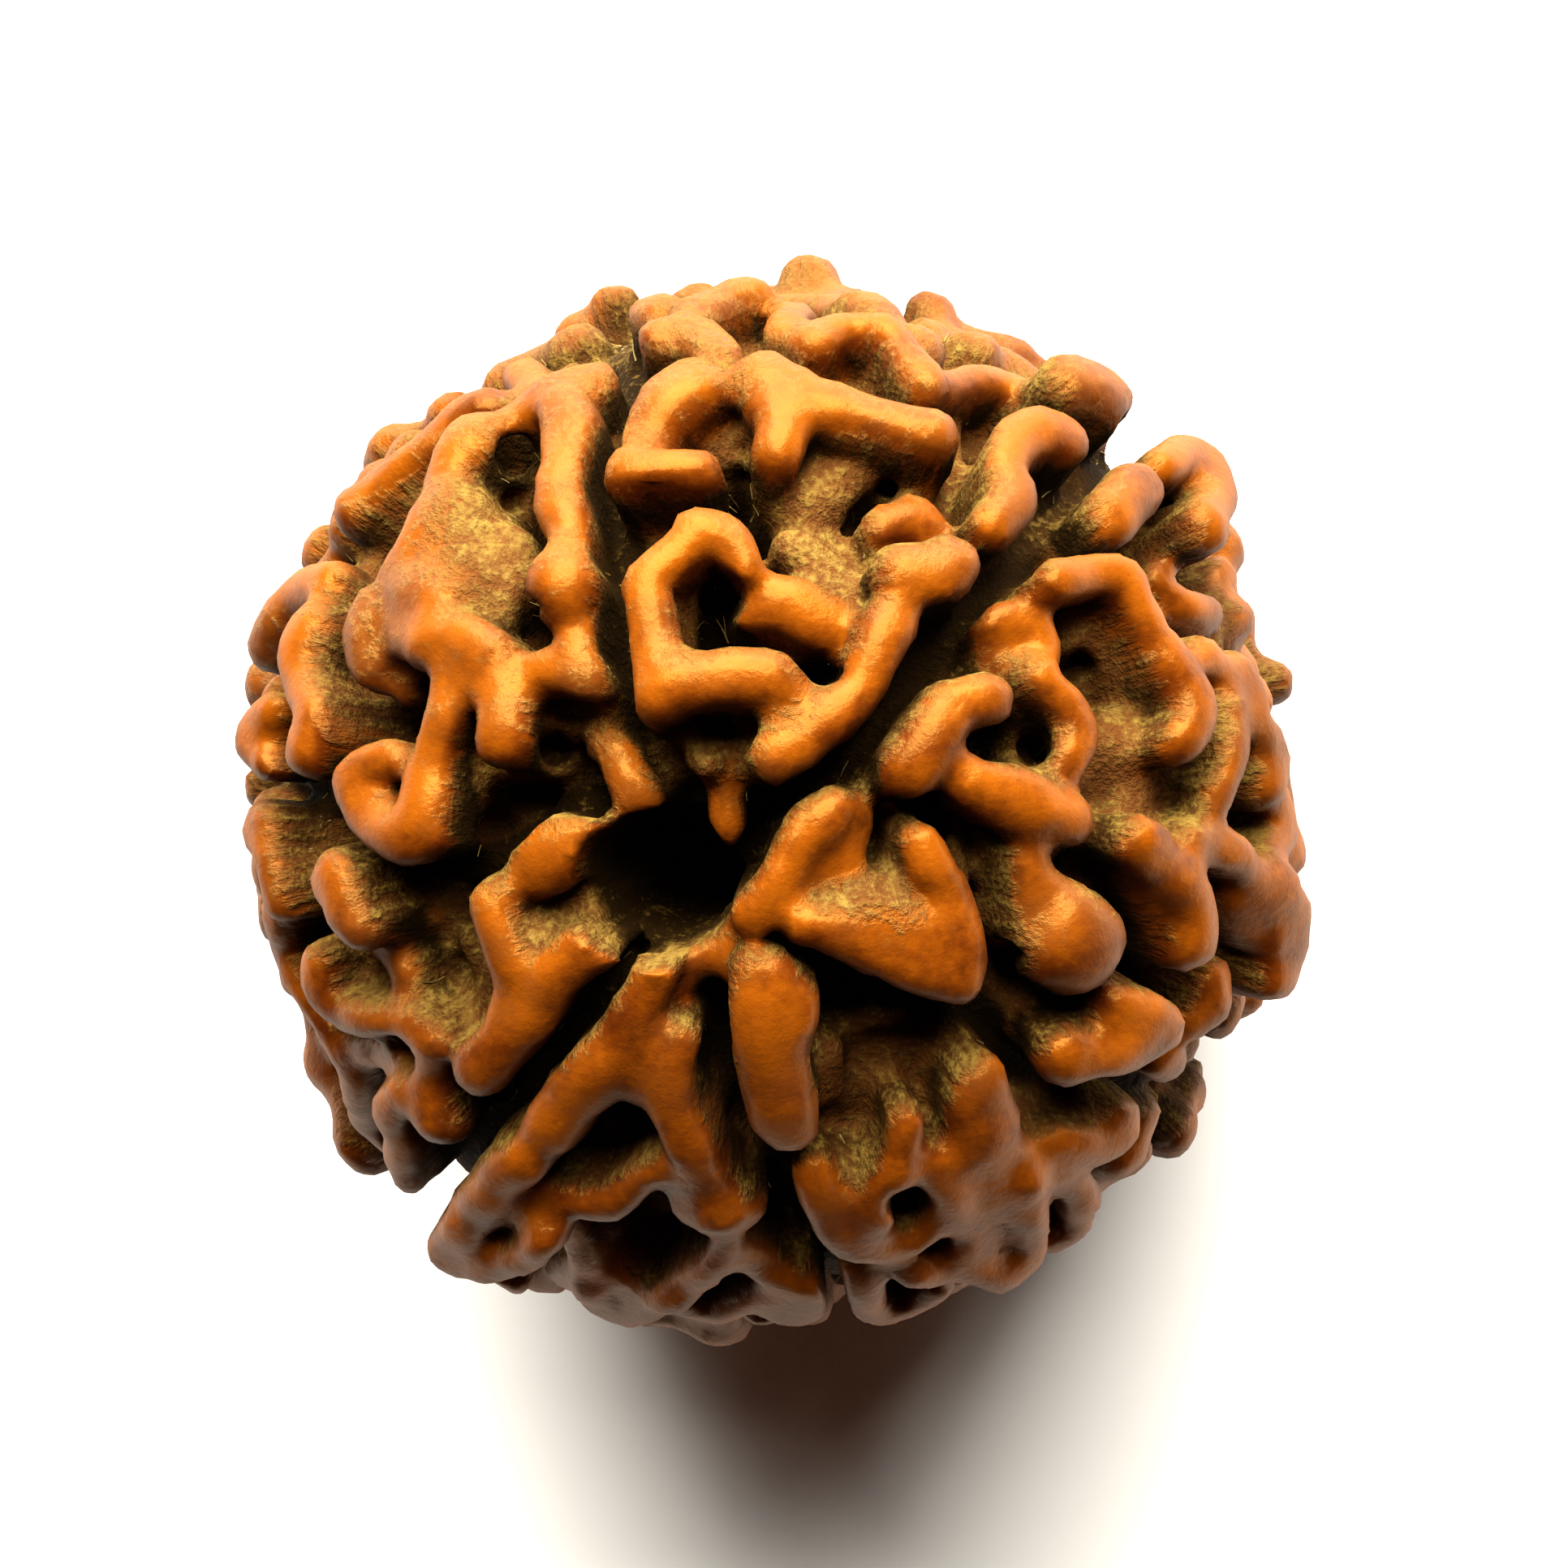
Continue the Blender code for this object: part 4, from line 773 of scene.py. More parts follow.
    def add_wall(self, built: bmesh.types.BMesh, samples: list[tuple[Vector, float]]) -> None:
        """Draws a wall with a round crest and round ends under a line of crest positions.

        Args:
            built: Mesh that takes the wall.
            samples: Crest positions with a half width each.
        """
        last = len(samples) - 1
        stations = [(0, turn) for turn in (-80.0, -60.0, -40.0, -20.0)]
        stations += [(index, 0.0) for index in range(len(samples))]
        stations += [(last, turn) for turn in (20.0, 40.0, 60.0, 80.0)]
        rings = []
        for index, turn in stations:
            position, half_width = samples[index]
            ahead = samples[min(index + 1, last)][0] - samples[max(index - 1, 0)][0]
            out = position.normalized()
            along = (ahead - out * ahead.dot(out)).normalized()
            narrow = math.cos(math.radians(turn))
            foot = along * half_width * math.sin(math.radians(turn))
            crest = position.length - half_width * (1.0 - narrow)
            rings.append(self.wall_ring(built, foot, out, out.cross(along), half_width * narrow, crest))
        skin_rings(built, rings)

    def add_front(self, built: bmesh.types.BMesh) -> None:
        """Adds the ridges that are laid out one by one.

        Args:
            built: Mesh that takes them.
        """
        for ridges in FRONT_RIDGES.values():
            for ridge in ridges:
                points = [
                    (self.layout.on_bead(across, up, ridge.crest), half_width)
                    for across, up, half_width in ridge.points
                ]
                self.add_ridge(built, points, ridge.skin)

    def add_undergrowth(self, built: bmesh.types.BMesh) -> None:
        """Adds the low lumps and short walls between the ridges, away from furrows, pits and bore.

        Args:
            built: Mesh that takes them.
        """
        chance = random.Random(self.seed + 1)
        cell = EVEN_SPREAD * self.undergrowth_spacing ** 2
        count = round(4.0 * math.pi * self.undergrowth_top ** 2 / cell)
        for index in range(count):
            height = 1.0 - (2.0 * index + 1.0) / count
            direction = polar(index * GOLDEN_ANGLE, math.degrees(math.acos(height)))
            shake = Vector([chance.uniform(-0.05, 0.05) for _ in range(3)])
            direction = (direction + shake).normalized()
            side = direction.cross(Vector([chance.gauss(0.0, 1.0) for _ in range(3)])).normalized()
            length = chance.uniform(0.15, 0.7) / self.undergrowth_top
            top = self.undergrowth_top + chance.uniform(-1.1, 0.55)
            half_width = chance.uniform(0.06, 0.24)
            start = (direction + side * length).normalized()
            end = (direction - side * length).normalized()
            place = direction * self.rear_top_radius
            apart = self.furrow_tree.find(place)[2]
            from_mouth = math.hypot(place.x, place.y) - self.mouth_radius
            if apart < 0.8 or self.from_pits(place) < 0.3 or from_mouth < 0.9:
                continue
            lower = top - chance.uniform(0.0, 0.4)
            self.add_ridge(built, [(start * top, half_width), (end * lower, half_width * 0.8)], Skin.DUSTY)

    def furrow_azimuths(self) -> list[float]:
        """Azimuth of each furrow where it leaves the front, in degrees and in rising order."""
        rims = [self.layout.on_bead(*front[-1], self.rear_top_radius) for front in FRONT_FURROWS]
        return sorted(azimuth_of(rim) for rim in rims)

    def rear_lobe(self, direction: Vector, furrows: list[float]) -> int | None:
        """Finds the lobe of the rear that a direction is in.

        Args:
            direction: Unit vector from the middle of the bead.
            furrows: Azimuths of the furrows.

        Returns:
            The lobe's number, or None in a furrow or at the bore.
        """
        azimuth = azimuth_of(direction)
        reach = self.rear_top_radius * math.hypot(direction.x, direction.y)
        if reach < self.mouth_radius + 0.8:
            return None
        for furrow in furrows:
            apart = abs((azimuth - furrow + 180.0) % 360.0 - 180.0)
            if math.radians(apart) * reach < min(self.furrow_clearance, 0.16 * reach):
                return None
        return sum(azimuth > furrow for furrow in furrows) % len(furrows)

    def rear_crest(self, direction: Vector, chance: random.Random) -> float:
        """Finds the crest radius of the rear: level, and lower towards the second mouth of the bore.

        Args:
            direction: Unit vector from the middle of the bead.
            chance: Seeded source of its unevenness.

        Returns:
            The radius.
        """
        from_pole = math.degrees(math.acos(max(-1.0, min(1.0, -direction.z))))
        near_pole = max(0.0, 1.0 - from_pole / self.pole_dimple_angle)
        return self.rear_top_radius - self.pole_dimple * near_pole ** 1.2 + chance.uniform(-0.25, 0.2)

    def rear_knots(self, chance: random.Random) -> list[tuple[Vector, int, float, float]]:
        """Spreads the knots of the rear evenly and shakes them.

        Args:
            chance: Seeded source of the shaking.

        Returns:
            Direction, lobe, crest radius and half width of each knot.
        """
        furrows = self.furrow_azimuths()
        front = [
            self.layout.on_bead(across, up, ridge.crest).normalized()
            for ridges in FRONT_RIDGES.values() for ridge in ridges for across, up, _ in ridge.points
        ]
        cell = EVEN_SPREAD * self.rear_ridge_spacing ** 2
        count = round(4.0 * math.pi * self.rear_top_radius ** 2 / cell)
        view = self.layout.to_bead @ Vector((0.0, 0.0, 1.0))
        knots = []
        for index in range(count):
            height = 1.0 - (2.0 * index + 1.0) / count
            direction = polar(index * GOLDEN_ANGLE, math.degrees(math.acos(height)))
            shake = Vector([chance.uniform(-0.055, 0.055) for _ in range(3)])
            direction = (direction + shake).normalized()
            lobe = self.rear_lobe(direction, furrows)
            crest = self.rear_crest(direction, chance)
            half_width = chance.uniform(0.34, 0.56)
            if direction.dot(view) > 0.42 or lobe is None:
                continue
            if min((direction - other).length for other in front) * self.rear_top_radius < self.rim_clearance:
                continue
            if direction.dot(view) > -0.12:
                crest = self.rim_top_radius + chance.uniform(-0.15, 0.15)
            knots.append((direction, lobe, crest, half_width))
        return knots

    def add_rear(self, built: bmesh.types.BMesh) -> None:
        """Adds branching ridges over the rear: each knot joined to near ones of its own lobe.

        Args:
            built: Mesh that takes them.
        """
        chance = random.Random(self.seed)
        knots = self.rear_knots(chance)
        joined = set()
        for index, (direction, lobe, crest, half_width) in enumerate(knots):
            near = sorted(
                (other for other in range(len(knots)) if other != index and knots[other][1] == lobe),
                key=lambda other: (knots[other][0] - direction).length,
            )[:3]
            for rank, other in enumerate(near):
                pair = (min(index, other), max(index, other))
                reach = (knots[other][0] - direction).length * self.rear_top_radius
                if pair in joined or reach > 3.1 or chance.random() > (0.78, 0.42, 0.16)[rank]:
                    continue
                joined.add(pair)
                middle = (direction + knots[other][0]).normalized()
                bend = Vector([chance.uniform(-0.02, 0.02) for _ in range(3)])
                saddle = (crest + knots[other][2]) / 2.0 - chance.uniform(0.05, 0.3)
                self.add_ridge(built, [
                    (direction * crest, half_width),
                    ((middle + bend).normalized() * saddle, min(half_width, knots[other][3]) * 0.85),
                    (knots[other][0] * knots[other][2], knots[other][3]),
                ], Skin.WAXED)
            self.add_ridge(built, [(direction * crest, half_width)], Skin.WAXED)

    def add_feet(self, built: bmesh.types.BMesh) -> None:
        """Adds a knob in every second lobe, round the lower mouth, that stands proud of the rest there.

        Args:
            built: Mesh that takes the three knobs.
        """
        furrows = self.furrow_azimuths()
        for first, second in list(zip(furrows, furrows[1:]))[::2]:
            azimuth = (first + second) / 2.0
            foot = polar(azimuth, self.foot_polar_angle) * self.foot_top_radius
            inward = polar(azimuth + 6.0, self.foot_polar_angle - 6.0) * (self.foot_top_radius - 0.3)
            self.add_ridge(built, [(foot, 0.62), (inward, 0.5)], Skin.WAXED)

    def furrow_path(self, front: tuple[tuple[float, float], ...]) -> list[Vector]:
        """Follows one furrow over the front, then straight down to the lower pole.

        Args:
            front: Points of (across, up) in the view.

        Returns:
            Unit vectors along the furrow.
        """
        path = [self.layout.on_bead(across, up, self.rear_top_radius).normalized() for across, up in front]
        azimuth = azimuth_of(path[-1])
        lean = math.degrees(math.acos(path[-1].z)) + 8.0
        while lean < self.furrow_end_angle:
            path.append(polar(azimuth + 2.5 * math.sin(math.radians(lean * 5.0)), lean))
            lean += 8.0
        return path

    def furrow_floor(self, direction: Vector) -> float:
        """Finds the radius of a furrow's floor, which is deepest beside the bore.

        Args:
            direction: Unit vector towards the place on the furrow.

        Returns:
            The radius.
        """
        away = min(1.0, math.degrees(math.acos(max(-1.0, min(1.0, direction.z)))) / self.furrow_rise_angle)
        return self.furrow_floor_radius + self.furrow_floor_rise * away

    def add_seams(self, built: bmesh.types.BMesh) -> None:
        """Adds the low seam that each furrow has along its floor.

        Args:
            built: Mesh that takes the seams.
        """
        for front in FRONT_FURROWS:
            path = [place.normalized() for place in self.furrow_path(front)]
            samples = spaced([(place * self.furrow_floor(place), 0.5) for place in path[1:]], 0.4)
            self.add_wall(built, samples)

    def furrow_cutter(self) -> bpy.types.Object:
        """Makes a wedge along each furrow, narrow at the floor and open outside the ridges.

        Returns:
            The cutter.
        """
        built = bmesh.new()
        for front in FRONT_FURROWS:
            path = [
                place.normalized()
                for place, _ in spaced([(place, 0.0) for place in self.furrow_path(front)], 0.05)
            ]
            rings = []
            for index, out in enumerate(path):
                ahead = path[min(index + 1, len(path) - 1)] - path[max(index - 1, 0)]
                side = out.cross((ahead - out * ahead.dot(out)).normalized())
                rings.append([
                    built.verts.new(side * across + out * height)
                    for across, height in (
                        (-self.furrow_floor_half_width, self.furrow_floor(out)),
                        (-self.furrow_open_half_width, self.cut_reach),
                        (self.furrow_open_half_width, self.cut_reach),
                        (self.furrow_floor_half_width, self.furrow_floor(out)),
                    )
                ])
            skin_rings(built, rings)
        return new_object("furrow_cutter", built)

    def bore_cutter(self) -> bpy.types.Object:
        """Makes a round bar along the bore, wider at both mouths.

        Returns:
            The cutter.
        """
        built = bmesh.new()
        profile = (
            (self.mouth_radius, -self.cut_reach), (self.bore_radius, -self.mouth_starts),
            (self.bore_radius, self.mouth_starts), (self.mouth_radius, self.cut_reach),
        )
        turns = [math.tau * step / 64 for step in range(64)]
        skin_rings(built, [
            [built.verts.new((radius * math.cos(turn), radius * math.sin(turn), height)) for turn in turns]
            for radius, height in profile
        ])
        return new_object("bore_cutter", built)

    def pit_cutter(self) -> bpy.types.Object:
        """Makes a tapered bar down each pit, along the line of sight.

        Returns:
            The cutter.
        """
        built = bmesh.new()
        eye = self.layout.to_bead @ Vector((0.0, 0.0, self.layout.eye))
        turns = [math.tau * step / 14 for step in range(14)]
        for pit, radius in self.pits:
            down = (pit - eye).normalized()
            side = down.orthogonal().normalized()
            across = down.cross(side)
            rings = []
            for wide, depth in ((radius * 1.1, -2.0), (radius * 0.75, self.pit_depth)):
                middle = pit + down * depth
                rings.append([
                    built.verts.new(middle + (side * math.cos(turn) + across * math.sin(turn)) * wide)
                    for turn in turns
                ])
            skin_rings(built, rings)
        return new_object("pit_cutter", built)

    def ground_cutter(self) -> bpy.types.Object:
        """Makes a block under the three feet that leaves them small flats.

        Returns:
            The cutter.
        """
        built = bmesh.new()
        side = 30.0
        bmesh.ops.create_cube(built, size=side)
        low = -side / 2.0 - self.ground_below_centre
        bmesh.ops.translate(built, vec=(0.0, 0.0, low), verts=built.verts)
        return new_object("ground_cutter", built)

    def merged_skin(self) -> bpy.types.Mesh:
        """Merges core and ridges into one skin and cuts the furrows, the bore and the flats.

        Returns:
            The skin, centred on the middle of the bead.
        """
        built = bmesh.new()
        bmesh.ops.create_icosphere(built, subdivisions=5, radius=self.core_radius)
        self.add_front(built)
        self.add_rear(built)
        self.add_feet(built)
        self.add_undergrowth(built)
        self.add_seams(built)
        helper = new_object("bead_walls", built)
        cutters = [self.furrow_cutter(), self.pit_cutter(), self.bore_cutter(), self.ground_cutter()]
        merge = helper.modifiers.new("merge", "REMESH")
        merge.mode = "VOXEL"
        merge.voxel_size = self.grain * MILLIMETRE
        for cutter in cutters:
            cut = helper.modifiers.new(cutter.name, "BOOLEAN")
            cut.operation = "DIFFERENCE"
            cut.solver = "MANIFOLD"
            cut.object = cutter
        heal = helper.modifiers.new("heal", "REMESH")
        heal.mode = "VOXEL"
        heal.voxel_size = self.grain * MILLIMETRE
        soften = helper.modifiers.new("soften", "SMOOTH")
        soften.factor = 0.5
        soften.iterations = 3
        fine = evaluated_mesh(helper, NODE + "_skin")
        triangles = sum(len(face.vertices) - 2 for face in fine.polygons)
        log.info("skin before thinning: %d triangles", triangles)
        if triangles > self.most_triangles:
            fewer = helper.modifiers.new("fewer", "DECIMATE")
            fewer.ratio = self.most_triangles / triangles
            fine = evaluated_mesh(helper, NODE + "_skin")
        for leftover in (helper, *cutters):
            bpy.data.objects.remove(leftover)
        keep_largest_body(fine)
        return fine

    def ripple_skin(self, mesh: bpy.types.Mesh, drops: np.ndarray) -> None:
        """Lumps the waxed crests a little and scores the walls below them, as they are grown.

        Args:
            mesh: Skin centred on the middle of the bead.
            drops: How far each point is below the top of its ridge, mm.
        """
        count = len(mesh.vertices)
        points, normals = np.empty(count * 3), np.empty(count * 3)
        mesh.vertices.foreach_get("co", points)
        mesh.vertices.foreach_get("normal", normals)
        shifts = np.empty(count)
        for row, (x, y, z) in enumerate(points.reshape(-1, 3) / MILLIMETRE):
            place = Vector((x, y, z))
            lump = place / self.ripple_length
            score = place.normalized() * (self.rear_top_radius / self.score_width) + place * 0.35
            low = min(1.0, max(0.0, (drops[row] - 0.25) / 0.8))
            shifts[row] = (
                self.ripple * (noise.noise(lump) + 0.6 * noise.noise(lump * 2.7))
                + self.score * low * (noise.noise(score) + 0.6 * noise.noise(score * 2.1))
            )
        points += normals * np.repeat(shifts * MILLIMETRE, 3)
        points[2::3] = np.maximum(points[2::3], -self.ground_below_centre * MILLIMETRE)
        mesh.vertices.foreach_set("co", points)
        mesh.update()

    def paint_masks(self, mesh: bpy.types.Mesh, drops: np.ndarray, waxed: np.ndarray) -> None:
        """Stores what the finish needs to know about each point.

        Args:
            mesh: Skin centred on the middle of the bead.
            drops: How far each point is below the top of its ridge, mm.
            waxed: How waxed that ridge is.
        """
        points = points_of(mesh)
        ends = np.empty(len(mesh.edges) * 2, dtype=np.int64)
        mesh.edges.foreach_get("vertices", ends)
        ends = ends.reshape(-1, 2)
        radii = np.linalg.norm(points, axis=1)
        on_shell = points / radii[:, None] * self.rear_top_radius
        # Drop, depth, hollow, furrow and bore also tell the finish where to paint shade.
        masks = {
            "drop": blurred(drops, ends, 3),
            "waxed": blurred(waxed, ends, 6),
            "depth": self.rear_top_radius - radii,
            "hollow": blurred(radii, ends, 60) - radii,
            "furrow": np.array([
                min(self.furrow_tree.find(place)[2], self.from_pits(Vector(place)) + 0.6)
                for place in on_shell
            ]),
            "bore": np.hypot(points[:, 0], points[:, 1]),
        }
        for name, values in masks.items():
            layer = mesh.attributes.new(name, "FLOAT", "POINT")
            layer.data.foreach_set("value", values.astype(np.float32))

    def build(self) -> bpy.types.Object:
        """Builds the skin and sets it where the solid is.

        Returns:
            The bead's visible skin.
        """
        mesh = self.merged_skin()
        drops, waxed = self.crests.measure(points_of(mesh))
        self.ripple_skin(mesh, drops)
        self.paint_masks(mesh, drops, waxed)
        low, high = (np.array(corner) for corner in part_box(NODE))
        points = points_of(mesh) * MILLIMETRE
        middle = (points.min(axis=0) + points.max(axis=0)) / 2.0
        wanted = (low + high) / 2.0
        self.centre = Vector((
            wanted[0] - middle[0], wanted[1] - middle[1], low[2] + self.ground_below_centre * MILLIMETRE,
        ))
        mesh.transform(Matrix.Translation(self.centre))
        mesh.shade_smooth()
        mesh.materials.clear()
        skin = bpy.data.objects.new("bead_skin", mesh)
        bpy.context.scene.collection.objects.link(skin)
        return skin


def points_of(mesh: bpy.types.Mesh) -> np.ndarray:
    """The mesh's points, mm, one row each."""
    points = np.empty(len(mesh.vertices) * 3)
    mesh.vertices.foreach_get("co", points)
    return points.reshape(-1, 3) / MILLIMETRE


def blurred(values: np.ndarray, ends: np.ndarray, rounds: int) -> np.ndarray:
    """Averages a value over the mesh with its neighbours.

    Args:
        values: One value a point.
        ends: Pairs of points that an edge joins.
        rounds: How many times it is done.

    Returns:
        The blurred values.
    """
    neighbours = np.bincount(ends.ravel(), minlength=len(values)) + 1.0
    for _ in range(rounds):
        total = values.copy()
        total += np.bincount(ends[:, 0], weights=values[ends[:, 1]], minlength=len(values))
        total += np.bincount(ends[:, 1], weights=values[ends[:, 0]], minlength=len(values))
        values = total / neighbours
    return values


@dataclass(frozen=True)
class WaxedStone:
    """Dried stone of a fruit, brushed clean and waxed: glossy orange crests, dusty flanks, and near-black
    painted shade in the hollows.

    The mottle's patches are as wide as a ridge or two. The dust's grain and the streaks of the flanks
    are coarser than real ones, by an estimated factor of two, because finer ones vanish at this distance.
    """

    wax_light: str = "#733C07"
    # The deep wax tone is laid on down the sides of each crest: painted shade, mixed with the wax's own
    # uneven tone.
    wax_deep: str = "#451C04"
    mauve: str = "#4C2810"
    bare: str = "#4B2C13"
    # The flank colour darkens the walls below the crests towards their feet: painted shade.
    shaded_flank: str = "#221004"
    dust: str = "#6E5829"
    haze: str = "#6E4A20"
    # The pit colour is near-black painted shade for the hollows, the furrows, the bore and other deep places.
    pit: str = "#030201"
    mottle_mm: float = 1.9
    dust_grain_mm: float = 0.14
    streak_mm: float = 0.34
    wax_roughness: float = 0.26
    dust_roughness: float = 0.52
    slant_roughness: float = 0.45

    def material(self, centre: Vector, lit_dusty_side: Vector) -> bpy.types.Material:
        """Builds the finish from the masks that the skin carries.

        Args:
            centre: Middle of the bead, which the streaks of the flanks point away from.
            lit_dusty_side: Direction of the side that faces the lamp, which gets more dust and is painted
                paler, with less painted shade.

        Returns:
            The material.
        """
        # Brushing bares the crests and leaves dust between them; the wax then soaks in and is rubbed up,
        # so the eye meets warm, softly glossy crests over matt, dusty flanks. Shade is painted in too: darker
        # down the flanks, near-black in the hollows, furrows and bore, and paler on the side that faces the
        # lamp.
        made = bpy.data.materials.new("brushed_waxed_fruit_stone")
        made.use_nodes = True
        tree = made.node_tree
        shader = tree.nodes["Principled BSDF"]
        noises = self.noises(tree, centre)
        masks = self.masks(tree, noises, lit_dusty_side)
        colour = self.colour(tree, noises, masks)
        tree.links.new(colour, shader.inputs["Base Color"])
        dull = add_node(
            tree, "ShaderNodeMath", {"operation": "MAXIMUM"}, {0: masks["dusty"], 1: masks["dark"]},
        ).outputs[0]
        # Wax is smooth and softly glossy on the crests, while dust and pits scatter all light.
        roughness = add_node(
            tree, "ShaderNodeMath", {"operation": "MULTIPLY_ADD"},
            {0: dull, 1: self.dust_roughness, 2: self.wax_roughness},
        ).outputs[0]
        # Seen at a slant the wax film looks duller, for its fine scratches hide one another.
        slant = add_node(tree, "ShaderNodeLayerWeight", None, {"Blend": 0.4}).outputs["Facing"]
        roughness = add_node(
            tree, "ShaderNodeMath", {"operation": "MULTIPLY_ADD", "use_clamp": True},
            {0: slant, 1: self.slant_roughness, 2: roughness},
        ).outputs[0]
        tree.links.new(roughness, shader.inputs["Roughness"])
        # Grain and streaks stand out on the dull places and hardly show through the wax.
        relief = add_node(
            tree, "ShaderNodeMath", {"operation": "ADD"}, {0: noises["grain"], 1: noises["streak"]},
        ).outputs[0]
        share = add_node(
            tree, "ShaderNodeMath", {"operation": "MULTIPLY_ADD"}, {0: dull, 1: 0.85, 2: 0.12},
        ).outputs[0]
        height = add_node(
            tree, "ShaderNodeMath", {"operation": "MULTIPLY"}, {0: relief, 1: share},
        ).outputs[0]
        bump = add_node(
            tree, "ShaderNodeBump", None, {"Strength": 0.9, "Distance": 0.00013, "Height": height},
        ).outputs["Normal"]
        tree.links.new(bump, shader.inputs["Normal"])
        # A warm tint keeps the highlights amber, and a little scatter softens the thin crests.
        shader.inputs["IOR"].default_value = 1.48
        shader.inputs["Specular IOR Level"].default_value = 0.34
        shader.inputs["Specular Tint"].default_value = linear("#FFC26C")
        shader.inputs["Subsurface Weight"].default_value = 0.06
        shader.inputs["Subsurface Scale"].default_value = 0.0005
        shader.inputs["Subsurface Radius"].default_value = (1.0, 0.45, 0.15)
        return made

    def noises(self, tree: bpy.types.NodeTree, centre: Vector) -> dict[str, bpy.types.NodeSocket]:
        """Adds the patterns that the finish is broken up with.

        Args:
            tree: The material's nodes.
            centre: Middle of the bead.

        Returns:
            Mottle and broad clouds, grain of dust, and streaks that run out from the middle.
        """
        place = add_node(tree, "ShaderNodeTexCoord").outputs["Object"]
        from_centre = add_node(
            tree, "ShaderNodeVectorMath", {"operation": "SUBTRACT"}, {0: place, 1: tuple(centre)},
        ).outputs["Vector"]
        outward = add_node(
            tree, "ShaderNodeVectorMath", {"operation": "NORMALIZE"}, {0: from_centre},
        ).outputs["Vector"]
        on_shell = add_node(
            tree, "ShaderNodeVectorMath", {"operation": "SCALE"}, {0: outward, "Scale": 0.012},
        ).outputs["Vector"]
        radial = add_node(
            tree, "ShaderNodeVectorMath", {"operation": "MULTIPLY_ADD"},
            {0: from_centre, 1: (0.3, 0.3, 0.3), 2: on_shell},
        ).outputs["Vector"]
        patterns = {
            "mottle": (self.mottle_mm, place, 3.0),
            "broad": (self.mottle_mm * 1.7, from_centre, 2.0),
            "grain": (self.dust_grain_mm, place, 3.0),
            "streak": (self.streak_mm, radial, 5.0),
        }
        return {
            name: add_node(
                tree, "ShaderNodeTexNoise", None,
                {"Vector": where, "Scale": per_metre(size), "Detail": detail, "Roughness": 0.62},
            ).outputs["Fac"]
            for name, (size, where, detail) in patterns.items()
        }

    def masks(
        self, tree: bpy.types.NodeTree, noises: dict[str, bpy.types.NodeSocket], lit_dusty_side: Vector,
    ) -> dict[str, bpy.types.NodeSocket]:
        """Works out where the skin is dusty and where shade is painted in.

        Args:
            tree: The material's nodes.
            noises: The patterns.
            lit_dusty_side: Direction of the side that faces the lamp, which gets more dust and is painted
                paler, with less painted shade.

        Returns:
            Shares of dusty, haze and dark painted shade, and how far the skin faces the lamp's side.
        """
        skin = {
            name: add_node(tree, "ShaderNodeAttribute", {"attribute_name": name}).outputs["Fac"]
            for name in ("drop", "waxed", "depth", "hollow", "furrow", "bore")
        }
        # How far the skin turns to the lamp's side. That side gets more dust and less painted shade and is
        # painted paler: painted light, along with the real dust.
        facing = add_node(
            tree, "ShaderNodeVectorMath", {"operation": "DOT_PRODUCT"},
            {0: add_node(tree, "ShaderNodeNewGeometry").outputs["Normal"], 1: tuple(lit_dusty_side)},
        ).outputs["Value"]
        edge = add_node(
            tree, "ShaderNodeMath", {"operation": "MULTIPLY_ADD"}, {0: noises["streak"], 1: 0.8, 2: -0.4},
        ).outputs[0]
        drop = add_node(tree, "ShaderNodeMath", {"operation": "ADD"}, {0: skin["drop"], 1: edge}).outputs[0]
        cloud = add_node(
            tree, "ShaderNodeMath", {"operation": "MULTIPLY_ADD"}, {0: noises["broad"], 1: -0.7, 2: -0.3},
        ).outputs[0]
        reach = add_node(
            tree, "ShaderNodeMath", {"operation": "MULTIPLY_ADD"}, {0: skin["waxed"], 1: 1.15, 2: cloud},
        ).outputs[0]
        reach = add_node(
            tree, "ShaderNodeMath", {"operation": "MULTIPLY_ADD"}, {0: facing, 1: -0.4, 2: reach},
        ).outputs[0]
        past = add_node(tree, "ShaderNodeMath", {"operation": "SUBTRACT"}, {0: drop, 1: reach}).outputs[0]
        # Sunk adds the hollow, the drop below a crest and the turn away from the lamp: painted shade.
        sunk = add_node(
            tree, "ShaderNodeMath", {"operation": "MULTIPLY_ADD"}, {0: skin["hollow"], 1: 0.9, 2: drop},
        ).outputs[0]
        sunk = add_node(
            tree, "ShaderNodeMath", {"operation": "MULTIPLY_ADD"}, {0: facing, 1: -0.3, 2: sunk},
        ).outputs[0]
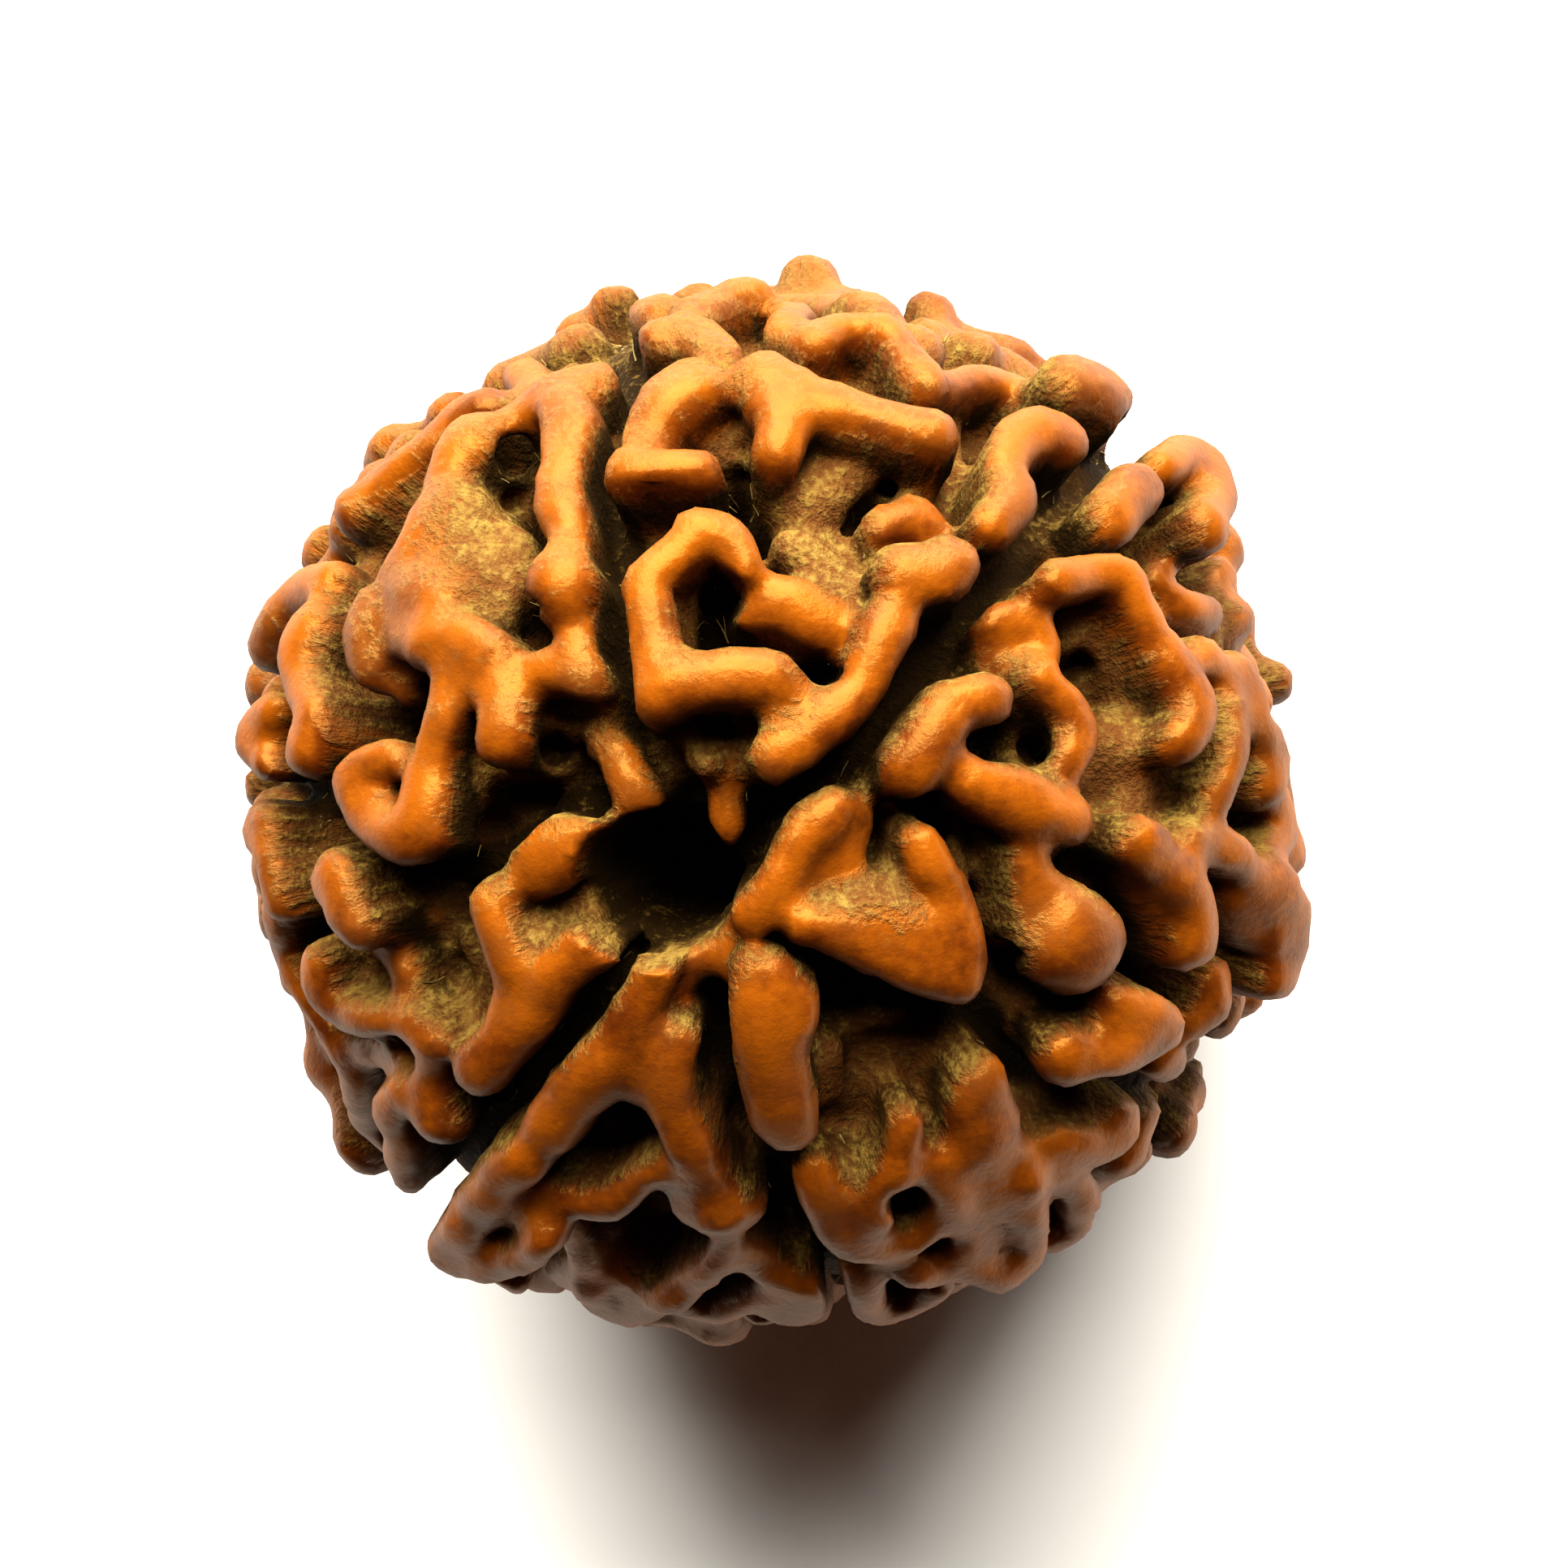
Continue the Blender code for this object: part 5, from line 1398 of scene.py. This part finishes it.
        # Each share grows between two limits, in millimetres.
        limits = {
            "dusty": (past, -0.1, 0.55), "hazy": (past, -0.25, 0.1), "below": (sunk, 0.3, 1.0),
            "off_furrow": (skin["furrow"], 0.45, 0.95), "deep": (skin["depth"], 1.0, 1.8),
            "off_bore": (skin["bore"], 1.6, 2.3), "deeper": (skin["depth"], 1.6, 3.2),
            "deepest": (skin["depth"], 1.4, 2.8),
        }
        found = {
            name: add_node(
                tree, "ShaderNodeMapRange", {"interpolation_type": "SMOOTHSTEP"},
                {"Value": value, "From Min": low, "From Max": high},
            ).outputs["Result"]
            for name, (value, low, high) in limits.items()
        }
        in_furrow = add_node(
            tree, "ShaderNodeMath", {"operation": "MULTIPLY_ADD"},
            {0: found["off_furrow"], 1: -1.0, 2: found["deep"]},
        ).outputs[0]
        in_bore = add_node(
            tree, "ShaderNodeMath", {"operation": "MULTIPLY_ADD"},
            {0: found["off_bore"], 1: -1.0, 2: found["deeper"]},
        ).outputs[0]
        openings = add_node(
            tree, "ShaderNodeMath", {"operation": "MAXIMUM"}, {0: in_furrow, 1: in_bore},
        ).outputs[0]
        sunken = add_node(
            tree, "ShaderNodeMath", {"operation": "MULTIPLY_ADD"}, {0: found["deepest"], 1: 0.75, 2: 0.0},
        ).outputs[0]
        sunken = add_node(
            tree, "ShaderNodeMath", {"operation": "MAXIMUM"}, {0: found["below"], 1: sunken},
        ).outputs[0]
        # Dark is painted shade: near-black where the skin is sunk, in the furrows and the bore, and wherever
        # it lies deep.
        dark = add_node(
            tree, "ShaderNodeMath", {"operation": "MAXIMUM", "use_clamp": True}, {0: sunken, 1: openings},
        ).outputs[0]
        haze = add_node(
            tree, "ShaderNodeMath", {"operation": "MULTIPLY_ADD", "use_clamp": True},
            {0: found["dusty"], 1: -1.0, 2: found["hazy"]},
        ).outputs[0]
        return {"dusty": found["dusty"], "haze": haze, "dark": dark, "facing": facing, "drop": drop}

    def colour(
        self,
        tree: bpy.types.NodeTree,
        noises: dict[str, bpy.types.NodeSocket],
        masks: dict[str, bpy.types.NodeSocket],
    ) -> bpy.types.NodeSocket:
        """Lays wax, haze, dust and near-black painted shade over one another.

        Args:
            tree: The material's nodes.
            noises: The patterns.
            masks: The shares of dusty, haze and painted shade.

        Returns:
            The colour of the skin.
        """
        fine = add_node(
            tree, "ShaderNodeMath", {"operation": "MULTIPLY"}, {0: noises["streak"], 1: 0.7},
        ).outputs[0]
        fine = add_node(
            tree, "ShaderNodeMath", {"operation": "MULTIPLY_ADD"}, {0: noises["grain"], 1: 0.5, 2: fine},
        ).outputs[0]
        fine = add_node(
            tree, "ShaderNodeMath", {"operation": "MULTIPLY_ADD"}, {0: noises["broad"], 1: 0.35, 2: fine},
        ).outputs[0]
        # The side that faces the lamp is painted paler: painted light.
        fine = add_node(
            tree, "ShaderNodeMath", {"operation": "MULTIPLY_ADD"}, {0: masks["facing"], 1: 0.1, 2: fine},
        ).outputs[0]
        # Crest tone is the wax's own mottle, made darker down each crest's sides: painted shade.
        crest = add_node(
            tree, "ShaderNodeMath", {"operation": "MULTIPLY_ADD"},
            {0: masks["drop"], 1: -0.45, 2: noises["mottle"]},
        ).outputs[0]
        # Each share grows from nothing at the first limit to the last number at the second.
        limits = {
            "light": (crest, 0.15, 0.62, 1.0), "purple": (noises["broad"], 0.48, 0.7, 0.65),
            "pale": (fine, 0.72, 1.08, 1.0), "speck": (fine, 0.86, 1.04, 0.5),
            "low": (masks["drop"], 0.1, 0.8, 1.0),
        }
        shares = {
            name: add_node(
                tree, "ShaderNodeMapRange", {"interpolation_type": "SMOOTHSTEP"},
                {"Value": value, "From Min": low, "From Max": high, "To Max": most},
            ).outputs["Result"]
            for name, (value, low, high, most) in limits.items()
        }
        hazy = add_node(
            tree, "ShaderNodeMath", {"operation": "MULTIPLY"}, {0: masks["haze"], 1: shares["pale"]},
        ).outputs[0]
        dark = add_node(
            tree, "ShaderNodeMath", {"operation": "MULTIPLY_ADD", "use_clamp": True},
            {0: shares["speck"], 1: -1.0, 2: masks["dark"]},
        ).outputs[0]
        wax = add_node(
            tree, "ShaderNodeMix", {"data_type": "RGBA"},
            {0: shares["light"], 6: linear(self.wax_deep), 7: linear(self.wax_light)},
        ).outputs[2]
        wax = add_node(
            tree, "ShaderNodeMix", {"data_type": "RGBA"},
            {0: shares["purple"], 6: wax, 7: linear(self.mauve)},
        ).outputs[2]
        wax = add_node(
            tree, "ShaderNodeMix", {"data_type": "RGBA"}, {0: hazy, 6: wax, 7: linear(self.haze)},
        ).outputs[2]
        # Bare walls darken towards their feet below the crests: painted shade; dust lies over them.
        dull = add_node(
            tree, "ShaderNodeMix", {"data_type": "RGBA"},
            {0: shares["low"], 6: linear(self.bare), 7: linear(self.shaded_flank)},
        ).outputs[2]
        dull = add_node(
            tree, "ShaderNodeMix", {"data_type": "RGBA"}, {0: shares["pale"], 6: dull, 7: linear(self.dust)},
        ).outputs[2]
        upper = add_node(
            tree, "ShaderNodeMix", {"data_type": "RGBA"}, {0: masks["dusty"], 6: wax, 7: dull},
        ).outputs[2]
        # Near-black painted shade covers the hollows, furrows and bore, with specks of dust left showing.
        return add_node(
            tree, "ShaderNodeMix", {"data_type": "RGBA"}, {0: dark, 6: upper, 7: linear(self.pit)},
        ).outputs[2]


@dataclass(frozen=True)
class DriedFibre:
    """Dry pulp fibre of the fruit: matt, straw-coloured, darker where it is dirty."""

    clean: str = "#8E7638"
    dirty: str = "#3E2C12"
    patch_mm: float = 0.9
    roughness: float = 0.75

    def material(self) -> bpy.types.Material:
        """Builds the finish.

        Returns:
            The material.
        """
        # Pulp that dried on in threads has no gloss at all: it reads as pale fuzz in the dark hollows.
        made = bpy.data.materials.new("dried_pulp_fibre")
        made.use_nodes = True
        tree = made.node_tree
        shader = tree.nodes["Principled BSDF"]
        place = add_node(tree, "ShaderNodeTexCoord").outputs["Object"]
        patch = add_node(
            tree, "ShaderNodeTexNoise", None,
            {"Vector": place, "Scale": per_metre(self.patch_mm), "Detail": 2.0},
        ).outputs["Fac"]
        colour = add_node(
            tree, "ShaderNodeMix", {"data_type": "RGBA"},
            {0: patch, 6: linear(self.dirty), 7: linear(self.clean)},
        ).outputs[2]
        tree.links.new(colour, shader.inputs["Base Color"])
        shader.inputs["Roughness"].default_value = self.roughness
        return made


@dataclass
class PulpFibres:
    """Fuzz of dried pulp that brushing left on the walls and in the furrows.

    Sizes are in millimetres. The fibres are thicker than real ones, by an estimated factor of two, so
    that they show.
    """

    count: int = 5000
    least_drop: float = 0.35
    most_depth: float = 2.9
    lengths: tuple[float, float] = (0.2, 0.6)
    highest: float = 11.1
    radii: tuple[float, float] = (0.012, 0.026)
    joints: int = 3
    sides: int = 3
    clear_of_bore: float = 1.7
    patch_size: float = 1.6
    seed: int = 11

    def strand(self, built: bmesh.types.BMesh, line: list[Vector], radius: float) -> None:
        """Adds one fibre, thinner to its tip.

        Args:
            built: Mesh that takes it.
            line: Points along its middle.
            radius: Its radius at the root.
        """
        rings = []
        for index, place in enumerate(line):
            ahead = (line[min(index + 1, len(line) - 1)] - line[max(index - 1, 0)]).normalized()
            side = ahead.orthogonal().normalized()
            up = ahead.cross(side)
            thick = radius * (1.0 - 0.55 * index / (len(line) - 1))
            rings.append([
                built.verts.new(place + (side * math.cos(turn) + up * math.sin(turn)) * thick)
                for turn in (math.tau * step / self.sides for step in range(self.sides))
            ])
        skin_rings(built, rings)

    def roots(self, mesh: bpy.types.Mesh) -> np.ndarray:
        """Finds the points of the skin that fuzz can grow from: below the crests, and clear of the bore.

        Args:
            mesh: Skin with its masks.

        Returns:
            Numbers of the points.
        """
        values = {}
        for name in ("drop", "depth", "bore"):
            values[name] = np.empty(len(mesh.vertices), dtype=np.float32)
            mesh.attributes[name].data.foreach_get("value", values[name])
        in_reach = (values["depth"] < self.most_depth) & (values["bore"] > self.clear_of_bore)
        return np.flatnonzero((values["drop"] > self.least_drop) & in_reach)

    def build(self, skin: bpy.types.Object, centre: Vector) -> bpy.types.Object:
        """Grows the fibres along the skin, mostly up its walls.

        Args:
            skin: The bead's visible skin with its masks.
            centre: Middle of the bead, m.

        Returns:
            All fibres as one mesh.
        """
        chance = random.Random(self.seed)
        mesh = skin.data
        roots = self.roots(mesh)
        built = bmesh.new()
        for index in chance.sample(list(roots), min(self.count, len(roots))):
            vertex = mesh.vertices[int(index)]
            root = (vertex.co - centre) / MILLIMETRE
            if noise.noise(root / self.patch_size) < chance.uniform(-0.35, 0.35):
                continue
            normal = vertex.normal.copy()
            lean = root.normalized() + Vector([chance.gauss(0.0, 0.45) for _ in range(3)])
            along = (lean - normal * lean.dot(normal)).normalized()
            length = chance.uniform(*self.lengths)
            bend = normal.cross(along) * chance.uniform(-0.4, 0.4) + normal * chance.uniform(-0.1, 0.12)
            line = [
                root + along * (length * t) + bend * (length * t * t) + normal * 0.01
                for t in (step / self.joints for step in range(self.joints + 1))
            ]
            if line[-1].length < self.highest:
                self.strand(built, line, chance.uniform(*self.radii))
        bmesh.ops.translate(built, vec=centre / MILLIMETRE, verts=built.verts)
        return new_object("pulp_fibres", built)


@dataclass
class Studio:
    """A white table, soft light from beyond the bead and a camera that looks down on the bored pole.

    The view's measures are in millimetres at the bead, and the table's side is in metres.
    """

    layout: Layout
    centre: Vector
    view_width: float = 34.5
    picture_across: float = 0.32
    picture_up: float = 0.39
    sensor_width: float = 36.0
    table_size: float = 2.4

    def camera(self) -> None:
        """Sets the camera where the layout's eye is, framed as the photograph is."""
        data = bpy.data.cameras.new("camera")
        data.sensor_width = self.sensor_width
        data.lens = self.sensor_width * self.layout.eye / self.view_width
        data.clip_start = 0.01
        data.shift_x = self.picture_across / self.view_width
        data.shift_y = self.picture_up / self.view_width
        camera = bpy.data.objects.new("camera", data)
        turn = self.layout.to_bead
        eye = self.centre + turn @ Vector((0.0, 0.0, self.layout.eye * MILLIMETRE))
        camera.matrix_world = Matrix.Translation(eye) @ turn.to_4x4()
        bpy.context.scene.collection.objects.link(camera)
        bpy.context.scene.camera = camera

    def table(self) -> None:
        """Lays the white table under the bead."""
        built = bmesh.new()
        half = self.table_size * 500.0
        corners = ((-half, -half), (half, -half), (half, half), (-half, half))
        built.faces.new([built.verts.new((x, y, 0.0)) for x, y in corners])
        floor = new_object("table", built)
        # Matt paint has no highlight of its own: the table reads as plain white with one soft shadow.
        made = bpy.data.materials.new("matt_painted_table")
        made.use_nodes = True
        shader = made.node_tree.nodes["Principled BSDF"]
        shader.inputs["Base Color"].default_value = linear("#F4F2EC")
        shader.inputs["Roughness"].default_value = 0.7
        floor.data.materials.append(made)

    def lamp(
        self,
        name: str,
        towards: tuple[float, float, float],
        distance: float,
        size: float,
        watts: float,
        colour: str,
    ) -> None:
        """Hangs one soft lamp, placed in the view's own axes.

        Args:
            name: Name of the lamp.
            towards: Direction of the lamp from the bead: right, up and towards the camera.
            distance: Distance from the bead, m.
            size: Side of its square face, m.
            watts: Its power.
            colour: Its colour.
        """
        data = bpy.data.lights.new(name, "AREA")
        data.size = size
        data.energy = watts
        data.color = linear(colour)[:3]
        away = self.layout.to_bead @ Vector(towards).normalized()
        lamp = bpy.data.objects.new(name, data)
        facing = away.to_track_quat("Z", "Y").to_matrix().to_4x4()
        lamp.matrix_world = Matrix.Translation(self.centre + away * distance) @ facing
        bpy.context.scene.collection.objects.link(lamp)

    def light(self) -> None:
        """Lights the bead softly from the top of the picture and a little from the left."""
        self.lamp("window", (-0.05, 0.77, 0.635), 0.34, 0.39, 10.5, "#FFFDF8")
        world = bpy.data.worlds.new("studio")
        world.use_nodes = True
        backdrop = world.node_tree.nodes["Background"]
        backdrop.inputs["Color"].default_value = linear("#E0A488")
        backdrop.inputs["Strength"].default_value = 0.05
        bpy.context.scene.world = world
        settings = bpy.context.scene.view_settings
        settings.view_transform = "Standard"
        settings.look = "Medium High Contrast"


def main() -> None:
    """Builds the bead, its finish and the studio round it."""
    logging.basicConfig(level=logging.INFO, format="%(name)s: %(message)s")
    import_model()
    layout = Layout()
    stone = FruitStone(layout)
    skin = stone.build()
    # The side that faces the lamp, where the finish lays more dust and paints the skin paler: painted light.
    lit_dusty_side = (layout.to_bead @ Vector((-0.3, 0.9, 0.3))).normalized()
    skin.data.materials.append(WaxedStone().material(stone.centre, lit_dusty_side))
    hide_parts(NODE)
    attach(skin, "root")
    log.info("bead_skin: %d points", len(skin.data.vertices))
    fibres = PulpFibres().build(skin, stone.centre)
    fibres.data.materials.append(DriedFibre().material())
    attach(fibres, "root")
    log.info("pulp_fibres: %d faces", len(fibres.data.polygons))
    studio = Studio(layout, stone.centre)
    studio.table()
    studio.camera()
    studio.light()


if __name__ == "__main__":
    main()
